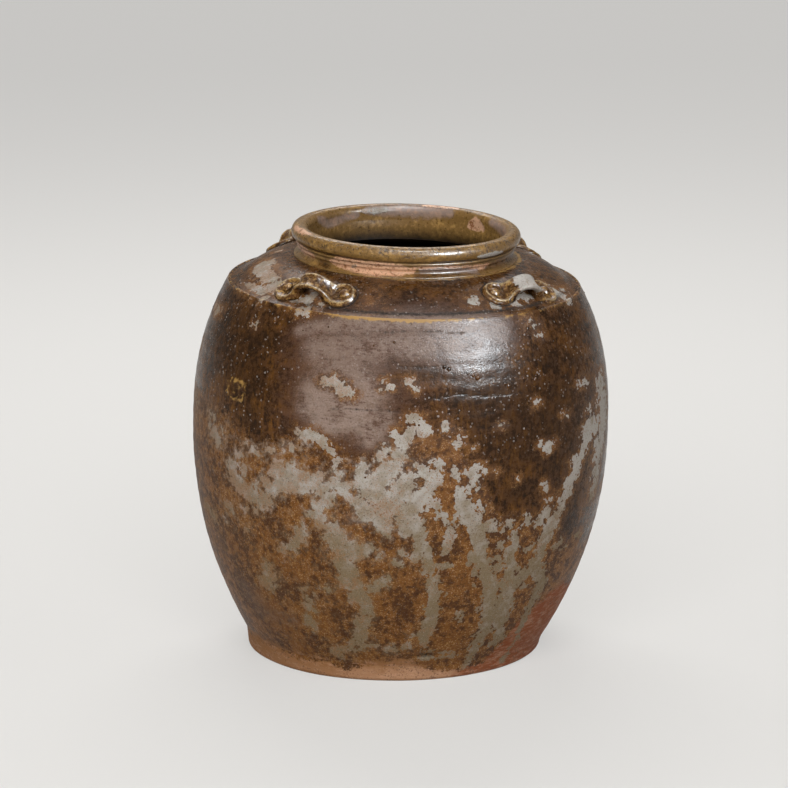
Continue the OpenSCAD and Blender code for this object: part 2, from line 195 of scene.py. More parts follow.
ASH_RIGHT_STREAK = [

    [(73.1, 236.5, 1.6), (73.5, 226.7, 2.7), (74.5, 214.9, 3.6), (75.2, 203.2, 4), (74.1, 192.6, 4), (72.4, 182.4, 4)],
    [(66, 203.4, 3.5), (62.6, 198.3, 4.3), (61.6, 189.3, 4.4), (59.4, 182.6, 4)],
    [(72.4, 182.4, 4), (71.1, 171.9, 3.5), (70.3, 161.1, 2.4), (69.7, 150, 2.4), (69.8, 138.5, 2.2)],
    [(59.4, 182.6, 4), (57.4, 177.3, 4), (56.6, 169.7, 4), (54.5, 162.8, 4), (52.9, 154.8, 3.5), (51.2, 144.2, 2.5)],
    [(67.6, 195.2, 4.7)],
]
ASH_SPECKS = [
    [(9, 27.0, 0.8), (15, 27.4, 1.4), (20, 26.2, 0.8)], [(9, 20.6, 0.9), (15, 20.4, 1.6), (22, 21.6, 0.9)],
    [(-28.8, 76.2, 1.9)], [(-28.4, 72, 1.6)], [(-25.9, 73.9, 1.7)], [(-27.4, 67.2, 1.9)],
    [(-29.1, 62, 2.8), (-27.7, 58.1, 1.9)], [(26.6, 179.4, 1.3)], [(33.3, 170.9, 1.3)],
    [(20.7, 82.7, 1.3)], [(23.1, 85.6, 1.3)], [(25.3, 64.8, 1.4)],
    [(19.9, 61.4, 2.8), (20.8, 54.9, 1.4)], [(5.4, 42.6, 2.4)], [(5, 34.2, 3.2)],
    [(-0.8, 30, 3.2), (-2.9, 27.9, 1.9)], [(3, 32.1, 1.9)], [(20.2, 104.6, 1.6)], [(63.4, 111.1, 2.1)],
    [(50.9, 215, 1.3)], [(63.5, 213.7, 1.9)], [(27.9, 215.1, 1.6)], [(-51.4, 277.9, 1.3)],
    [(39.4, 229.2, 1.6)], [(45.1, 278.1, 1.3)], [(42.1, 288.5, 1.6)], [(45, 285.4, 1.6)],
]
ASH_LUG_SIDE = [
    [(23.8, 306.3, 2.1), (26.8, 306.7, 3)], [(32, 302.1, 2.1), (34.3, 300.2, 1.9)],
    [(41.1, 301.5, 3.2), (42.3, 299.8, 1.6)], [(43.7, 298.7, 1.3)],
    [(45.7, 305.4, 3.2), (48.9, 303.7, 2.7), (51.8, 302.8, 1.6)],
    [(66.6, 305.2, 1.9), (66.9, 300.2, 2.7), (68.2, 296.1, 2.7), (67.6, 294, 1.6)], [(73, 299.1, 1.9)],
    [(55.6, 297.9, 1.6)],
]
DARK = [
    [(-3, 262, 11), (5, 258, 11)],
    [(35.2, 194.1, 20.5)], [(32.8, 163.1, 17.4)], [(58.3, 253.9, 12.6)],
    [(48.1, 204.5, 15.8), (55.6, 168.6, 14.2)], [(-59.3, 277, 20.5), (-46.2, 268.3, 17.4)],
    [(-37.9, 286.6, 11.1)], [(4.6, 256, 7.9), (16, 253.4, 6.3), (18.6, 238.2, 7.1)],
    [(0.4, 256.5, 6.3), (10.3, 258.2, 4.7)], [(44.8, 259.7, 15.8)],
    [(54.6, 144.8, 12.6), (54.2, 103.4, 11.1)], [(15.2, 38.2, 5.5), (20, 43, 7.1)],
    [(13, 29, 5.5), (19.6, 28, 6.3)], [(-39.2, 35.4, 9.5), (-36.1, 27.8, 6.3)], [(-58, 246.8, 15.8)],
    [(-45.6, 211, 14.2)],
]
# Mauve places: partly the glaze's own paler tone, partly a painted sheen on the upper front.
MAUVE_AND_SHEEN = [
    [(-16.9, 260.4, 18), (-9.2, 243.6, 24), (-14.3, 227.5, 26), (-22, 240, 22), (-26, 226, 16)],
    [(-5.6, 273.3, 14.2), (7.6, 277.6, 17.4), (19.8, 276.9, 19)],
    [(-4.7, 221.7, 11.1), (-22.5, 213.7, 16)],
    [(-53.4, 62.5, 17.4), (-50.4, 46.9, 15.8), (-37.6, 45.3, 12.6)],
    [(-33.3, 281, 7.9), (-20.3, 288.5, 11.1), (4.7, 293.7, 9.5), (30.5, 285.8, 12.6)],
    [(-8.5, 205.7, 11.1)], [(-6.7, 154.6, 15.8), (-13.5, 141, 11.1)],
]

# Marks on the neck and inside the mouth, on the same way up, which runs on over the rim
NECK_BARE = [
    [(-43, 341, 2.0), (-38, 342, 4.6), (-20, 341, 5.6), (-4, 341, 5.2), (4, 340, 2.0)],
    [(4, 343, 1.2), (20, 344, 1.4), (36, 342, 1.2)],
    [(38, 341, 1.6), (44, 340, 2.6), (48, 341, 1.4)],
    [(-84, 344, 4.0), (-74, 343, 4.6), (-62, 342, 3.0)],
    [(-80, 359, 2.4), (-70, 360, 3.0), (-63, 361, 2.0)],
    [(-118, 345, 3.5), (-100, 341, 4.0)],
    [(128, 378, 3.0), (134, 376, 6.0), (139, 378, 3.0)],
    [(170, 366, 1.4), (150, 365, 1.8)],
    [(150, 342, 3.6), (172, 341, 4.4)],
]
NECK_ASH_AND_HIGHLIGHT = [
    [(38, 351, 0.5), (43, 350.5, 2.2), (50, 350.5, 2.4), (56, 351, 0.5)],
    [(-30, 340, 0.8), (-27, 341, 1.2)],
    # A painted highlight: the pale lens inside the back of the mouth, laid as ash.
    [(-168, 371, 2.0), (-160, 371.5, 3.2), (-154, 371, 1.8)],
    [(100, 352, 1.5), (108, 351, 2.4)],
    [(-140, 352, 2.2)],
    [(176, 344, 2.0), (-178, 342, 2.6)],
]
NECK_DARK = [
    [(6, 337, 5.0), (30, 339, 5.5), (60, 340, 6.0), (88, 339, 6.0)],
    [(-52, 338, 4.0), (-46, 337, 3.5)],
    # This row and the next lie under the rolled rim: partly darker glaze, partly painted shade.
    [(-95, 349, 3.0), (-40, 348.5, 2.2), (-20, 348.5, 1.6)],
    [(14, 348.5, 1.8), (60, 348, 2.4), (95, 349, 3.0)],
    [(100, 340, 6.0), (125, 338, 5.0)],
    [(-170, 356, 4.0), (-150, 350, 5.0)],
]
NECK_MAUVE_AND_SHEEN = [
    # On the collar front: partly the glaze's mauve, partly a painted sheen.
    [(8, 341, 4.0), (26, 341, 5.0), (40, 338, 4.0)],
    [(-158, 371, 6.0), (-176, 371, 9.0), (172, 371, 10.0), (154, 370, 8.0)],
    [(-118, 372, 5.0), (-128, 378, 6.0), (-150, 374, 4.0)],
    [(60, 372, 5.0), (95, 374, 7.0), (120, 371, 5.0)],
]

ASH = (
    ASH_SHOULDER_LEFT
    + ASH_UPPER
    + ASH_BAND_LEFT
    + ASH_BIG_LEFT
    + ASH_MIDDLE
    + ASH_OLIVE_LEFT
    + ASH_RUNS
    + ASH_RIGHT_NET
    + ASH_RIGHT_STREAK
    + ASH_SPECKS
    + ASH_LUG_SIDE
)

# Upper edge of the rusty, grainy glaze: degrees round and height
RUST_TOP = [
    (-180, 150), (-140, 190), (-100, 170), (-75, 212), (-64, 206), (-50, 198), (-38, 192),
    (-28, 208), (-20, 184), (-8, 196), (0, 208), (10, 212), (16, 196), (22, 172), (27, 148),
    (33, 140), (45, 132), (55, 112), (75, 100), (100, 120), (140, 175), (180, 150),
]
# Upper edge of the bare clay at the foot
BARE_TOP = [
    (-180, 15), (-120, 10), (-90, 12), (-66, 16), (-52, 15), (-38, 12), (-28, 14), (-18, 10),
    (-8, 18), (2, 21), (10, 15), (20, 9), (30, 9), (36, 12), (41, 28), (45, 46),
    (52, 58), (58, 67), (66, 68), (76, 58), (88, 32), (110, 12), (140, 18), (180, 15),
]


# Numbers over the jar's surface


def turned(degrees, other):
    """The shortest turn from one angle to another, in degrees."""
    return (degrees - other + 180.0) % 360.0 - 180.0


def reach(marks, azimuth, way, radius, relative=False):
    """How far inside the nearest mark each point lies, in mm, or in half widths."""
    best = np.full(azimuth.shape, -60.0 if not relative else -4.0)
    for mark in marks:
        for first, last in zip(mark[:-1] or mark, mark[1:] or mark):
            widest = max(first[2], last[2])
            margin = widest * 3.0 if relative else widest + 16.0
            near = np.flatnonzero(
                (way > min(first[1], last[1]) - margin) & (way < max(first[1], last[1]) + margin)
            )
            if not len(near):
                continue
            centre = 0.5 * (first[0] + last[0])
            seen = max(0.3, math.cos(math.radians(centre))) if abs(centre) < 85 else 1.0
            scale = radius[near] * math.pi / 180.0 * seen
            across = turned(azimuth[near], first[0]) * scale
            up = way[near] - first[1]
            run_across = turned(last[0], first[0]) * scale
            run_up = last[1] - first[1]
            length = run_across**2 + run_up**2 + 1e-9
            share = np.clip((across * run_across + up * run_up) / length, 0.0, 1.0)
            off = np.hypot(across - share * run_across, up - share * run_up)
            half = first[2] + (last[2] - first[2]) * share
            inside = 1.0 - off / half if relative else half - off
            best[near] = np.maximum(best[near], inside)
    return best


def eased(value, low, high):
    """0 below low, 1 above high and a smooth rise between."""
    share = np.clip((value - low) / (high - low), 0.0, 1.0)
    return share * share * (3.0 - 2.0 * share)


def hump(value, middle, width):
    return np.exp(-(((value - middle) / width) ** 2))


def waves(points, size, seed, count=9):
    """A slow, smooth unevenness between about -1 and 1, with lumps of about this size."""
    draw = np.random.default_rng(seed)
    total = np.zeros(len(points))
    for _ in range(count):
        direction = draw.normal(size=3)
        direction /= np.linalg.norm(direction)
        pace = 2 * math.pi / (size * draw.uniform(0.7, 1.6))
        total += np.sin(points @ direction * pace + draw.uniform(0, 2 * math.pi))
    return total / math.sqrt(count * 2.0)


def edge_of(table, azimuth):
    """A height that changes round the jar, read from a table."""
    degrees, heights = zip(*table)
    return np.interp(azimuth, degrees, heights)


def back_marks():
    """Blots and runs of ash on the side away from the photograph, in the same manner."""
    draw = random.Random(11)
    marks = []
    for start in (96, 112, 131, 149, 158, 171, 188, 203, 214, 231, 247, 262):
        high = draw.uniform(120, 215)
        for _ in range(draw.randint(1, 3)):
            degrees = start + draw.uniform(-7, 7)
            way, half = high + draw.uniform(-18, 22), draw.uniform(3.5, 8.0)
            mark = []
            for _ in range(draw.randint(3, 7)):
                mark.append((turned(degrees, 0), way, half))
                degrees += draw.uniform(-2.4, 2.4)
                way -= draw.uniform(9, 22)
                half = min(10.0, max(2.2, half + draw.uniform(-2.0, 1.8)))
                if way < 14:
                    break
            marks.append(mark)
    for _ in range(70):
        degrees, way = draw.uniform(82, 278), draw.uniform(60, 285)
        marks.append([(turned(degrees, 0), way, draw.uniform(1.4, 4.6))])
    for _ in range(16):
        degrees, way = draw.uniform(85, 275), draw.uniform(298, 326)
        marks.append([(turned(degrees, 0), way, draw.uniform(1.6, 4.4))])
    return marks


def back_zones(seed, count):
    """Wide, soft patches of a darker or paler glaze on the far side."""
    draw = random.Random(seed)
    return [
        [(turned(draw.uniform(95, 265), 0), draw.uniform(40, 280), draw.uniform(14, 30))]
        for _ in range(count)
    ]


# The profile, as rows of radius, height, way up the profile and skin, which is 1 outside


def offset(point, before, after, depth):
    step = (after[0] - before[0], after[1] - before[1])
    size = math.hypot(*step)
    return (point[0] - depth * step[1] / size, point[1] + depth * step[0] / size)


def lower_pt(share):
    share = min(1.0, max(0.0, share))
    return (
        BELLY_R - (BELLY_R - FOOT_R) * (1 - share) ** LOWER_FULLNESS,
        BASE_T + (BELLY_Z - BASE_T) * share,
    )


def upper_pt(share):
    share = min(1.0, max(0.0, share))
    return (
        BELLY_R - (BELLY_R - LEDGE_R) * share**UPPER_FULLNESS,
        BELLY_Z + (LEDGE_Z - BELLY_Z) * share,
    )


def dome_z(r):
    return SHOULDER_Z - (SHOULDER_Z - GROOVE_Z) * ((r - COLLAR_R) / (SHOULDER_R - COLLAR_R)) ** 2


def wall_pt(z):
    """The outside of the belly at a height."""
    if z < BELLY_Z:
        return lower_pt((z - BASE_T) / (BELLY_Z - BASE_T))
    return upper_pt((z - BELLY_Z) / (LEDGE_Z - BELLY_Z))


def wall_in(z):
    """The inside of the belly, one wall's thickness in from the outside at a height."""
    return offset(wall_pt(z), wall_pt(z - 0.05), wall_pt(z + 0.05), WALL)


def dome_in(r):
    return offset((r, dome_z(r)), (r + 0.05, dome_z(r + 0.05)), (r - 0.05, dome_z(r - 0.05)), WALL)


def bow(centre, radius, first, last, count):
    return [
        (
            centre[0] + radius * math.cos(math.radians(first + (last - first) * i / count)),
            centre[1] + radius * math.sin(math.radians(first + (last - first) * i / count)),
        )
        for i in range(count + 1)
    ]


def between(low, high, step):
    return np.linspace(low, high, max(2, int(round(abs(high - low) / step)) + 1))


def with_way(points, ways):
    return [(r, z, way, 1.0) for (r, z), way in zip(points, ways)]


def hidden(points):
    return [(r, z, 0.0, 0.0) for r, z in points]


def way_on_dome(r):
    return LEDGE_Z + (SHOULDER_R - r) * 0.86


COLLAR_WAY = way_on_dome(COLLAR_R)


def lower_rows():
    outside = [wall_pt(z) for z in between(BASE_T, SEAM_Z, 1.35)]
    inside = [wall_in(z) for z in between(SEAM_Z, BASE_T + 9, 12)]
    low = inside[-1]
    cove = bow((low[0] - INNER_COVE, BASE_T + INNER_COVE), INNER_COVE, -30, -90, 4)
    return with_way(outside, [z for _, z in outside]) + hidden(inside + cove)


def upper_rows():
    wall = [wall_pt(z) for z in between(SEAM_Z, LEDGE_Z, 1.4)]
    bead = bow((LEDGE_R - LEDGE_BEAD_R, LEDGE_Z), LEDGE_BEAD_R, 0, 120, 8)
    foot = [(SHOULDER_R, GROOVE_Z)]
    ways = [z for _, z in wall] + [z for _, z in bead] + [LEDGE_Z]
    lip = dome_in(SHOULDER_R - 9.2)
    inside = [(lip[0], GROOVE_Z)] + [wall_in(z) for z in between(LEDGE_Z - 12, SEAM_Z, 12)]
    return with_way(wall + bead + foot, ways) + hidden(inside)


def shoulder_rows():
    radii = between(SHOULDER_R + 2.2, COLLAR_R, 1.1)
    inside = [dome_in(r) for r in between(COLLAR_R, SHOULDER_R - 9.2, 6)]
    last = inside[-1][0]
    return with_way([(r, luted_z(r)) for r in radii], [way_on_dome(r) for r in radii]) + hidden(
        inside + [(last, GROOVE_Z + 0.3), (SHOULDER_R, GROOVE_Z + 0.3)]
    )


def luted_z(r):
    """The dome, with the slip that fills the angle behind the ledge."""
    blend = SHOULDER_R - 8.0
    if r < blend:
        return dome_z(r)
    share = (r - blend) / (SHOULDER_R + 2.2 - blend)
    return dome_z(blend) + (LEDGE_Z + 1.15 - dome_z(blend)) * share ** 0.85


def collar_rows():
    foot_r = CORD_LINE * 0.3125
    foot_z = SHOULDER_Z + foot_r * 0.4
    wall_r = COLLAR_R - foot_r * 1.2
    middle = (SHOULDER_Z + RIM_SEAM_Z - CORD_LINE) / 2
    half = middle - foot_z - foot_r
    outside = bow((COLLAR_R - foot_r, foot_z), foot_r, 0, 100, 6)
    outside += [
        (wall_r - COLLAR_HOLLOW * (1 - s * s), middle + half * s) for s in np.linspace(-1, 0.75, 14)
    ]
    outside += bow(
        (wall_r - CORD_LINE / 2, RIM_SEAM_Z - CORD_LINE / 2), CORD_LINE / 2, -80, 70, 10
    )
    outside[0] = (COLLAR_R, SHOULDER_Z)
    funnel = (ROLL_RING_R - ROLL_R * 1.08, RIM_SEAM_Z)
    rows = with_way(outside, [COLLAR_WAY + z - SHOULDER_Z for _, z in outside])
    inside = [funnel] + [(THROAT_R, z) for z in between(THROAT_TOP_Z, THROAT_LOW_Z, 1.6)]
    rows += [(outside[-1][0], RIM_SEAM_Z, 347.0, 1.0)]
    rows += [(r, z, 374.5 + 332.6 - z, 0.5) for r, z in inside]
    return rows + [(COLLAR_R, SHOULDER_Z - WALL, 402.0, 0.0)]


def rim_rows():
    roll = bow((ROLL_RING_R, ROLL_Z), ROLL_R, -60, 190, 40)
    rows = [(roll[0][0] - 0.5, RIM_SEAM_Z, 346.8, 1.0)]
    rows += [(r, z, 347.0 + 27.5 * i / 40, 1.0) for i, (r, z) in enumerate(roll)]
    return rows + [(ROLL_RING_R - ROLL_R * 1.08, RIM_SEAM_Z, 379.2, 0.5)]


def slab_rows():
    rest = FOOT_R - FOOT_DRAW
    hollow = rest - REST_W
    edge = bow((rest - FOOT_ROUND, FOOT_ROUND), FOOT_ROUND, -90, 0, 8)
    side = [
        (rest + FOOT_DRAW * (z - FOOT_ROUND) / (BASE_T - FOOT_ROUND), z)
        for z in between(FOOT_ROUND + 0.9, BASE_T, 0.9)
    ]
    under = [(0.0, BASE_HOLLOW), (hollow * 0.5, BASE_HOLLOW), (hollow - 3, BASE_HOLLOW)]
    under += [(hollow, 0.0), (hollow + REST_W * 0.5, 0.0)]
    rows = [(r, z, z - 8.0, 1.0) for r, z in under]
    rows += with_way(edge + side, [z for _, z in edge + side])
    return rows + hidden([(0.0, BASE_T)])


# Node trees


class Wire:
    """One socket of a node tree. Sums and products of wires add Math nodes."""

    def __init__(self, board, socket):
        self.board, self.socket = board, socket

    def _with(self, operation, first, second):
        return self.board.add("ShaderNodeMath", {"operation": operation}, {0: first, 1: second})

    def __add__(self, other):
        return self._with("ADD", self, other)

    def __sub__(self, other):
        return self._with("SUBTRACT", self, other)

    def __rsub__(self, other):
        return self._with("SUBTRACT", other, self)

    def __mul__(self, other):
        return self._with("MULTIPLY", self, other)

    def __truediv__(self, other):
        return self._with("DIVIDE", self, other)

    def __rtruediv__(self, other):
        return self._with("DIVIDE", other, self)

    def __pow__(self, other):
        return self._with("POWER", self, other)

    __radd__ = __add__
    __rmul__ = __mul__


class Board:
    """A node tree that is being wired up."""

    def __init__(self, tree):
        self.tree = tree

    def add(self, kind, settings=None, sockets=None, out=0):
        """Adds a node: its settings first, then the values or wires of its sockets."""
        node = self.tree.nodes.new(kind)
        for name, value in (settings or {}).items():
            if name == "stops":
                ramp = node.color_ramp.elements
                while len(ramp) < len(value):
                    ramp.new(0.5)
                for element, (place, colour) in zip(ramp, value):
                    element.position, element.color = place, (*colour, 1.0)
            else:
                setattr(node, name, value)
        for name, value in (sockets or {}).items():
            if isinstance(value, Wire):
                self.tree.links.new(value.socket, node.inputs[name])
            else:
                node.inputs[name].default_value = value
        return None if out is None else Wire(self, node.outputs[out])

    def place(self):
        """Where a point lies, in millimetres."""
        where = self.add("ShaderNodeTexCoord", out="Object")
        return self.add("ShaderNodeVectorMath", {"operation": "SCALE"}, {0: where, "Scale": 1000.0})

    def noise(self, place, size, detail=2.0, rough=0.5, squash=None, twist=0.0):
        """Noise with lumps of this size in millimetres; squash stretches it along an axis."""
        if squash:
            place = self.add("ShaderNodeVectorMath", {"operation": "MULTIPLY"}, {0: place, 1: squash})
        return self.add(
            "ShaderNodeTexNoise",
            None,
            {
                "Vector": place,
                "Scale": 1.0 / size,
                "Detail": detail,
                "Roughness": rough,
                "Distortion": twist,
            },
        )

    def dots(self, place, size, radius, share, ragged):
        """Ragged dots, one for each cell of this size at most, where share of the cells has one."""
        turn = {"Vector": place, "Rotation": (0.5, 0.7, 0.3)}
        place = self.add("ShaderNodeVectorRotate", {"rotation_type": "EULER_XYZ"}, turn)
        cell = {"Vector": place, "Scale": 1.0 / size, "Randomness": 1.0}
        off = self.add("ShaderNodeTexVoronoi", {"feature": "F1"}, cell, out="Distance")
        colour = self.add("ShaderNodeTexVoronoi", {"feature": "F1"}, cell, out="Color")
        draw = self.add("ShaderNodeSeparateColor", None, {"Color": colour})
        big = self.between(draw, 1.0 - share, 1.0) * (radius / size)
        return self.between(big - off - (ragged - 0.5) * 0.5, -0.02, 0.05)

    def between(self, value, low, high):
        """0 below low, 1 above high and a smooth rise between."""
        return self.add(
            "ShaderNodeMapRange",
            {"interpolation_type": "SMOOTHSTEP"},
            {"Value": value, "From Min": low, "From Max": high},
        )

    def field(self, name):
        settings = {"attribute_type": "GEOMETRY", "attribute_name": name}
        return self.add("ShaderNodeAttribute", settings, out="Fac")

    def mix(self, under, over, mask):
        """Colours, the second one where the mask is 1."""
        wires = {0: mask, 6: self._colour(under), 7: self._colour(over)}
        return self.add("ShaderNodeMix", {"data_type": "RGBA", "blend_type": "MIX"}, wires, out=2)

    def level(self, under, over, mask):
        """Numbers, the second one where the mask is 1."""
        wires = {0: mask, 2: under, 3: over}
        return self.add("ShaderNodeMix", {"data_type": "FLOAT"}, wires, out=0)

    @staticmethod
    def _colour(value):
        return value if isinstance(value, Wire) else (*value, 1.0)


class Coat:
    """One finish: its colour, its roughness and the height of its relief in millimetres."""

    def __init__(self, colour, roughness, height):
        self.colour, self.roughness, self.height = colour, roughness, height


def lay(board, under, over, mask):
    """One finish over another, where the mask is 1."""
    return Coat(
        board.mix(under.colour, over.colour, mask),
        board.level(under.roughness, over.roughness, mask),
        board.level(under.height, over.height, mask),
    )


def fired(name, make, ior=1.12, specular=1.0):
    """A material from a function that wires up a finish on an empty board."""
    material = bpy.data.materials.new(name)
    material.use_nodes = True
    tree = material.node_tree
    tree.nodes.clear()
    board = Board(tree)
    place = board.place()
    coat = make(board, place)
    normal = board.add(
        "ShaderNodeBump",
        None,
        {"Strength": 1.0, "Distance": MM, "Height": coat.height},
    )
    surface = board.add(
        "ShaderNodeBsdfPrincipled",
        None,
        {
            "Base Color": coat.colour,
            "Roughness": coat.roughness,
            "Normal": normal,
            "IOR": ior,
            "Specular IOR Level": specular,
        },
    )
    board.add("ShaderNodeOutputMaterial", None, {"Surface": surface}, out=None)
    return material


# The finishes of this jar


def brown_coat(board, place, tints):
    """Thin brown glaze, with darker clouds, vertical amber runs and a fine mottle."""
    cloud = board.noise(place, 19.0, 4.0, 0.6)
    mottle = board.noise(place, 4.6, 4.0, 0.65)
    run = board.noise(place, 2.6, 3.0, 0.6, (1.0, 1.0, 0.16))
    grain = board.noise(place, 1.5, 3.0, 0.6)
    tone = board.mix(tints.dark_brown, tints.brown, board.between(cloud * 0.7 + mottle, 0.7, 1.0))
    tone = board.mix(tone, tints.plum, board.between(grain + mottle * 0.5, 0.78, 0.9) * 0.5)
    tone = board.mix(tone, tints.streak, board.between(run + cloud * 0.6, 0.8, 1.02) * 0.7)
    tone = board.mix(tone, tints.soot, board.between(grain + mottle, 0.92, 0.76) * 0.75)
    relief = cloud * 0.4 + mottle * 0.26 + grain * 0.14
    return Coat(tone, 0.2 + mottle * 0.14, relief)


def rust_coat(board, place, tints):
    """Thin glaze that has crawled into grains: golden dots on a rusty ground."""
    cloud = board.noise(place, 22.0, 3.0)
    lump = board.noise(place, 5.0, 3.0, 0.6)
    grain = board.noise(place, 1.7, 2.0, 0.6)
    fine = board.noise(place, 0.95, 1.0)
    ground = board.mix(tints.dark_rust, tints.rust, board.between(cloud + lump, 0.86, 1.12))
    tone = board.mix(ground, tints.amber, board.between(grain * 0.8 + lump * 0.8, 0.78, 1.0) * 0.6)
    rich = board.between(board.field("ash") + cloud * 20.0, -12.0, 8.0) * 0.5 + 0.12
    rich = rich * board.between(lump, 0.38, 0.6)
    tone = board.mix(tone, tints.gold, board.between(fine + grain * 0.5 + cloud * 0.3, 1.0, 1.1) * rich)
    tone = board.mix(tone, tints.speck, board.between(fine + lump * 0.3, 0.76, 0.86) * 0.27)
    tone = board.mix(tone, tints.soot, board.between(grain + lump * 0.5, 0.64, 0.54) * 0.4)
    return Coat(tone, 0.56 - grain * 0.2, grain * 0.32 + fine * 0.1 + cloud * 0.2 + lump * 0.15)


def mauve_and_sheen_coat(board, place, tints):
    """Thin, wiped glaze of a mauve brown, with fine lines round the jar, duller below. Its paler tone is partly a
    painted sheen.
    """
    wiped_and_sheen = board.noise(place, 1.5, 4.0, 0.65, (0.36, 0.36, 1.0))
    mottle = board.noise(place, 14.0, 4.0, 0.6)
    grain = board.noise(place, 1.2, 2.0, 0.6)
    height = board.add("ShaderNodeSeparateXYZ", None, {0: place}, out=2)
    pale = board.between(wiped_and_sheen * 0.6 + mottle, 0.5, 0.86) * board.between(board.field("mauve"), -0.1, 0.7)
    pale = pale * (1.0 - board.between(height, 230.0, 262.0) * 0.3)
    tone = board.mix(tints.plum, tints.mauve, pale)
    tone = board.mix(tone, tints.dark_brown, board.between(grain + wiped_and_sheen * 0.9, 0.88, 0.72) * 0.4)
    tone = board.mix(tone, tints.speck, board.between(grain, 0.56, 0.7) * 0.35)
    tone = board.mix(tone, tints.dark_rust, board.between(height, 190.0, 130.0) * 0.75)
    return Coat(tone, 0.32 + wiped_and_sheen * 0.14, wiped_and_sheen * 0.36 + mottle * 0.25 + grain * 0.24)


def ash_coat(board, place, tints):
    """Dry crust of pale ash, greener and duller towards the foot, with rusty grains in it. The dulling towards the foot
    is partly painted shade.
    """
    cloud = board.noise(place, 11.0, 4.0, 0.6)
    grain = board.noise(place, 1.5, 3.0, 0.6)
    worn = board.noise(place, 17.0, 3.0, 0.6)
    height = board.add("ShaderNodeSeparateXYZ", None, {0: place}, out=2)
    # Duller and darker towards the foot: partly the crust's own tone, partly painted shade.
    low = board.between(height + cloud * 60.0, 215.0, 125.0)
    side = board.add("ShaderNodeSeparateXYZ", None, {0: place}, out=0)
    thick = board.between(cloud + grain * 0.3 + side * 0.0007, 0.5, 0.76)
    pale = board.mix(tints.ash, tints.pale_ash, thick)
    dull = board.mix(tints.olive_ash, tints.ash, board.between(cloud, 0.48, 0.74))
    tone = board.mix(pale, dull, low)
    thin = board.between(board.field("ash") + cloud * 8.0, 8.5, 15.0) * board.between(height, 225.0, 195.0)
    tone = board.mix(tone, tints.olive_ash, thin * 0.6)
    tone = board.mix(tone, tints.clay, board.between(grain + worn * 0.9 - side * 0.001, 0.98, 1.12) * 0.5)
    tone = board.mix(tone, tints.rust, board.between(grain + worn * 0.5, 0.9, 0.98) * 0.8)
    fine = board.noise(place, 0.9, 2.0, 0.7)
    tone = board.mix(tone, tints.speck, board.between(fine, 0.54, 0.7) * 0.45)
    tone = board.mix(tone, tints.dark_rust, board.between(grain + fine * 0.4, 0.64, 0.5) * 0.5)
    return Coat(tone, 0.8 - grain * 0.1, cloud * 0.3 + grain * 0.3 + fine * 0.14 + 0.3)


def clay_coat(board, place, tints):
    """Bare fired clay: salmon in front, red on the right and browner on the left."""
    cloud = board.noise(place, 16.0, 4.0, 0.6)
    grain = board.noise(place, 1.6, 3.0, 0.65)
    scraped = board.noise(place, 3.0, 4.0, 0.7, (0.25, 0.25, 1.0))
    side = board.add("ShaderNodeSeparateXYZ", None, {0: place}, out=0)
    red = board.between(side + cloud * 90.0, 70.0, 115.0)
    brown = board.between(side + cloud * 70.0, 20.0, -30.0)
    height = board.add("ShaderNodeSeparateXYZ", None, {0: place}, out=2)
    pale = board.between(cloud * 24.0 - height, -2.0, 6.0) * (1.0 - brown * 0.8) * 0.38
    tone = board.mix(tints.clay, tints.salmon, pale)
    tone = board.mix(tone, tints.red_clay, red)
    tone = board.mix(tone, tints.salmon, board.between(scraped + grain * 0.3, 0.6, 0.82) * 0.45)
    tone = board.mix(tone, tints.dark_rust, board.between(scraped * 0.6 + grain + cloud * 0.3, 0.98, 1.14) * 0.7)
    return Coat(tone, 0.74 - grain * 0.1, cloud * 0.4 + grain * 0.3 + scraped * 0.4)


def gold_coat(board, place, tints):
    """Thick olive to golden glaze, as on the rim and the lugs."""
    cloud = board.noise(place, 10.0, 3.0)
    mottle = board.noise(place, 3.0, 3.0, 0.6)
    fine = board.noise(place, 1.2, 2.0, 0.6)
    tone = board.mix(tints.olive, tints.gold, board.between(cloud * 0.7 + mottle, 0.82, 1.16) * 0.7)
    tone = board.mix(tone, tints.dark_brown, board.between(fine + mottle * 0.6, 0.68, 0.58) * 0.75)
    return Coat(tone, 0.22 + mottle * 0.14, cloud * 0.3 + mottle * 0.22 + fine * 0.06)


def inside_wash_and_shade(board, place, coat, tints):
    """A finish outside, and a dull, near-black brown wash inside the jar, partly painted shade for the dark inside."""
    cloud = board.noise(place, 22.0, 3.0)
    tone = board.mix(tints.soot, tints.dark_brown, board.between(cloud, 0.4, 0.65))
    return lay(board, coat, Coat(tone, 0.85, cloud), board.between(board.field("skin"), 0.35, 0.1))


